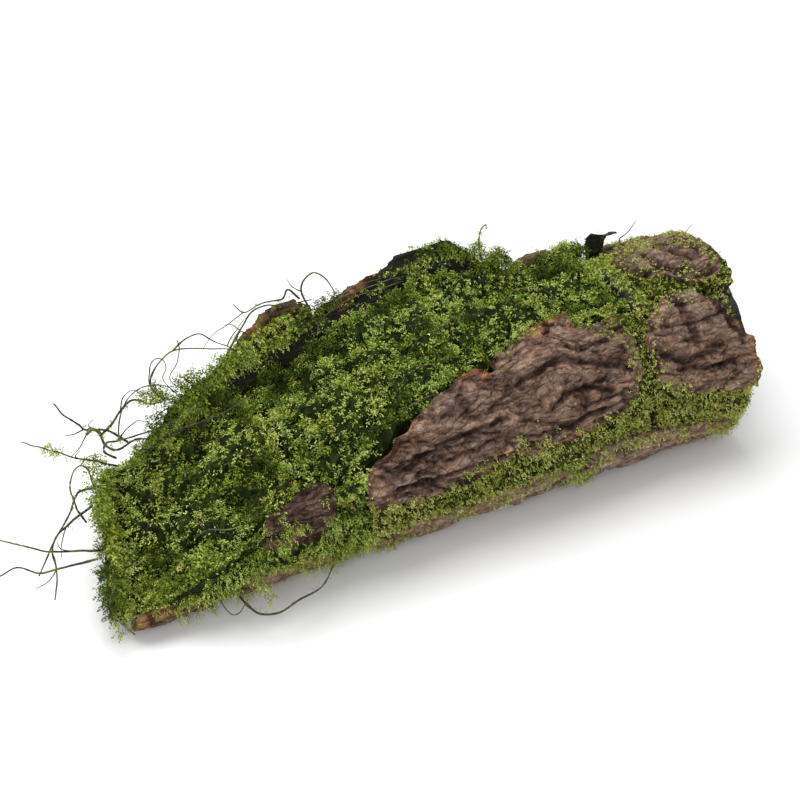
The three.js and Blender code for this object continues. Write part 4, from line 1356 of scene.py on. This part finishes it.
moss_piece("moss_mat_low_end", 172_000, 1001, sky, bed_drop, LONG_SPRIGS, BED_LENGTH, lean=0.5, yellow=0.56,
           bright=1.14, creep=14 * MM, on_host_long=0.95, reach_out=9 * MM, also=zone(-300, -85, rims, 1.6),
           tufts=HANGING_TUFTS)
moss_piece("moss_mat_middle", 169_000, 1002, sky, bed_drop, LONG_SPRIGS, BED_LENGTH, yellow=0.42,
           creep=12 * MM, bright=1.12, on_host_long=0.8, also=zone(-150, 30, back_wall, 0.35, 0.66),
           tufts=[((-82, 80, 152), (-66, 80, 156), 40, 4, 6, 0.45, 0.5),
                  ((-66, 84, 154), (-40, 84, 162), 120, 4.5, 6.5, 0.4, 0.5)])
moss_piece("moss_mat_round_end", 122_000, 1003, sky, bed_drop, LONG_SPRIGS, BED_LENGTH, yellow=0.45,
           creep=14 * MM, bright=1.18, on_host_long=0.8, tufts=BACK_SPRIG,
           also=both(zone(30, 215, back_wall, 0.9, 0.3), zone(158, 232, top_side, 1.6)))
moss_piece("moss_curtain", 68_000, 1004, sky, pad_drop, LONG_SPRIGS, BED_LENGTH, droop=0.6, yellow=0.56,
           bright=0.8, sink=9 * MM, tufts=LOW_TUFTS + STEM_TUFTS)

# %% [markdown]
# The pads in the seams between bark plates are a shorter, yellower moss. The front left one hangs over the
# log's edge in long shoots like the bed's.

# %% Moss pads
SHORT_LENGTH = (4.5 * MM, 7.5 * MM)
moss_piece("moss_front_left", 66_000, 1011, outwards, pad_drop, LONG_SPRIGS, (7 * MM, 11.5 * MM), net=3 * MM,
           droop=0.4, sink=2 * MM, yellow=0.52, slot="seam_moss", on_host_long=0.9, tufts=WALL_TUFTS,
           also=both(zone(-296, -85, front_wall), zone(-190, -120, small_plate, 0.8, 0.55, 3, True)))
PADS = [
    ("moss_front_middle", 40_000, None), ("moss_front_right", 44_000, None),
    ("moss_round_end_top", 36_000,
     both(zone(170, 278, top_side, 1.2), zone(205, 275, top_edge, 1.2, 0.35, 5, True))),
    ("moss_back_right", 24_000, zone(120, 280, back_outside, 0.7, 0.5)),
    ("moss_back_middle", 24_000, zone(-80, 120, back_outside, 0.7, 0.5)),
    ("moss_back_left", 24_000, zone(-290, -80, back_outside, 0.8, 0.4)),
]
for number, (pad, triangles, also) in enumerate(PADS):
    moss_piece(pad, triangles, 1020 + number, outwards, pad_drop, SHORT_SPRIGS, SHORT_LENGTH, net=3.4 * MM,
               sink=1.6 * MM, yellow=0.42, material=SHORT_MOSS, slot="seam_moss", creep=13 * MM, patchy=0.75,
               also=also, on_host_long=0.8)

# %% [markdown]
# ## The room
# The log is shown on a plain pale floor under soft studio light: a wide lamp overhead for the tops of the
# moss, a second from the front left so that the bark's relief shows, and a bright even surround that fills
# the shadows.

# %% Floor, light and camera
floor_mesh = bpy.data.meshes.new("floor")
FLOOR_HALF = 8.0
floor_mesh.from_pydata(
    [(x * FLOOR_HALF, y * FLOOR_HALF, 0) for x, y in ((-1, -1), (1, -1), (1, 1), (-1, 1))],
    [],
    [(0, 1, 2, 3)],
)
floor = bpy.data.objects.new("floor", floor_mesh)
bpy.context.scene.collection.objects.link(floor)
FLOOR_TONE = 0.94
PALE, tree, shader = new_material("Pale floor", 0.9, 0.1)
shader.inputs["Base Color"].default_value = (FLOOR_TONE, FLOOR_TONE, FLOOR_TONE, 1)
floor_mesh.materials.append(PALE)


def soft_lamp(name, place, target, size, power):
    lamp = bpy.data.lights.new(name, "AREA")
    lamp.shape = "DISK"
    lamp.size = size
    lamp.energy = power
    holder = bpy.data.objects.new(name, lamp)
    holder.location = place
    holder.rotation_euler = (Vector(target) - Vector(place)).to_track_quat("-Z", "Y").to_euler()
    bpy.context.scene.collection.objects.link(holder)


# Places and sizes in metres, power in watts.
LOG_MIDDLE = (0, 0, 0.08)
soft_lamp("overhead", (-0.25, 0.5, 1.9), LOG_MIDDLE, 1.7, 34)
soft_lamp("front left", (-1.3, -1.5, 1.3), LOG_MIDDLE, 1.2, 13)
SURROUND_STRENGTH = 0.56
world = bpy.data.worlds.new("soft surround")
world.use_nodes = True
surround = world.node_tree.nodes["Background"]
surround.inputs["Color"].default_value = (1, 1, 1, 1)
surround.inputs["Strength"].default_value = SURROUND_STRENGTH
bpy.context.scene.world = world
bpy.context.scene.view_settings.view_transform = "Standard"

AIM = Vector((-21, 0, 100)) * MM
TURN, LIFT, AWAY = math.radians(-26), math.radians(40), 1.7
LENS = 88.9
camera = bpy.data.cameras.new("camera")
camera.lens = LENS
view = bpy.data.objects.new("camera", camera)
VIEW_WAY = (math.sin(TURN) * math.cos(LIFT), -math.cos(TURN) * math.cos(LIFT), math.sin(LIFT))
view.location = AIM + AWAY * Vector(VIEW_WAY)
view.rotation_euler = (AIM - view.location).to_track_quat("-Z", "Y").to_euler()
bpy.context.scene.collection.objects.link(view)
bpy.context.scene.camera = view
print("camera at", [round(c, 3) for c in view.location])
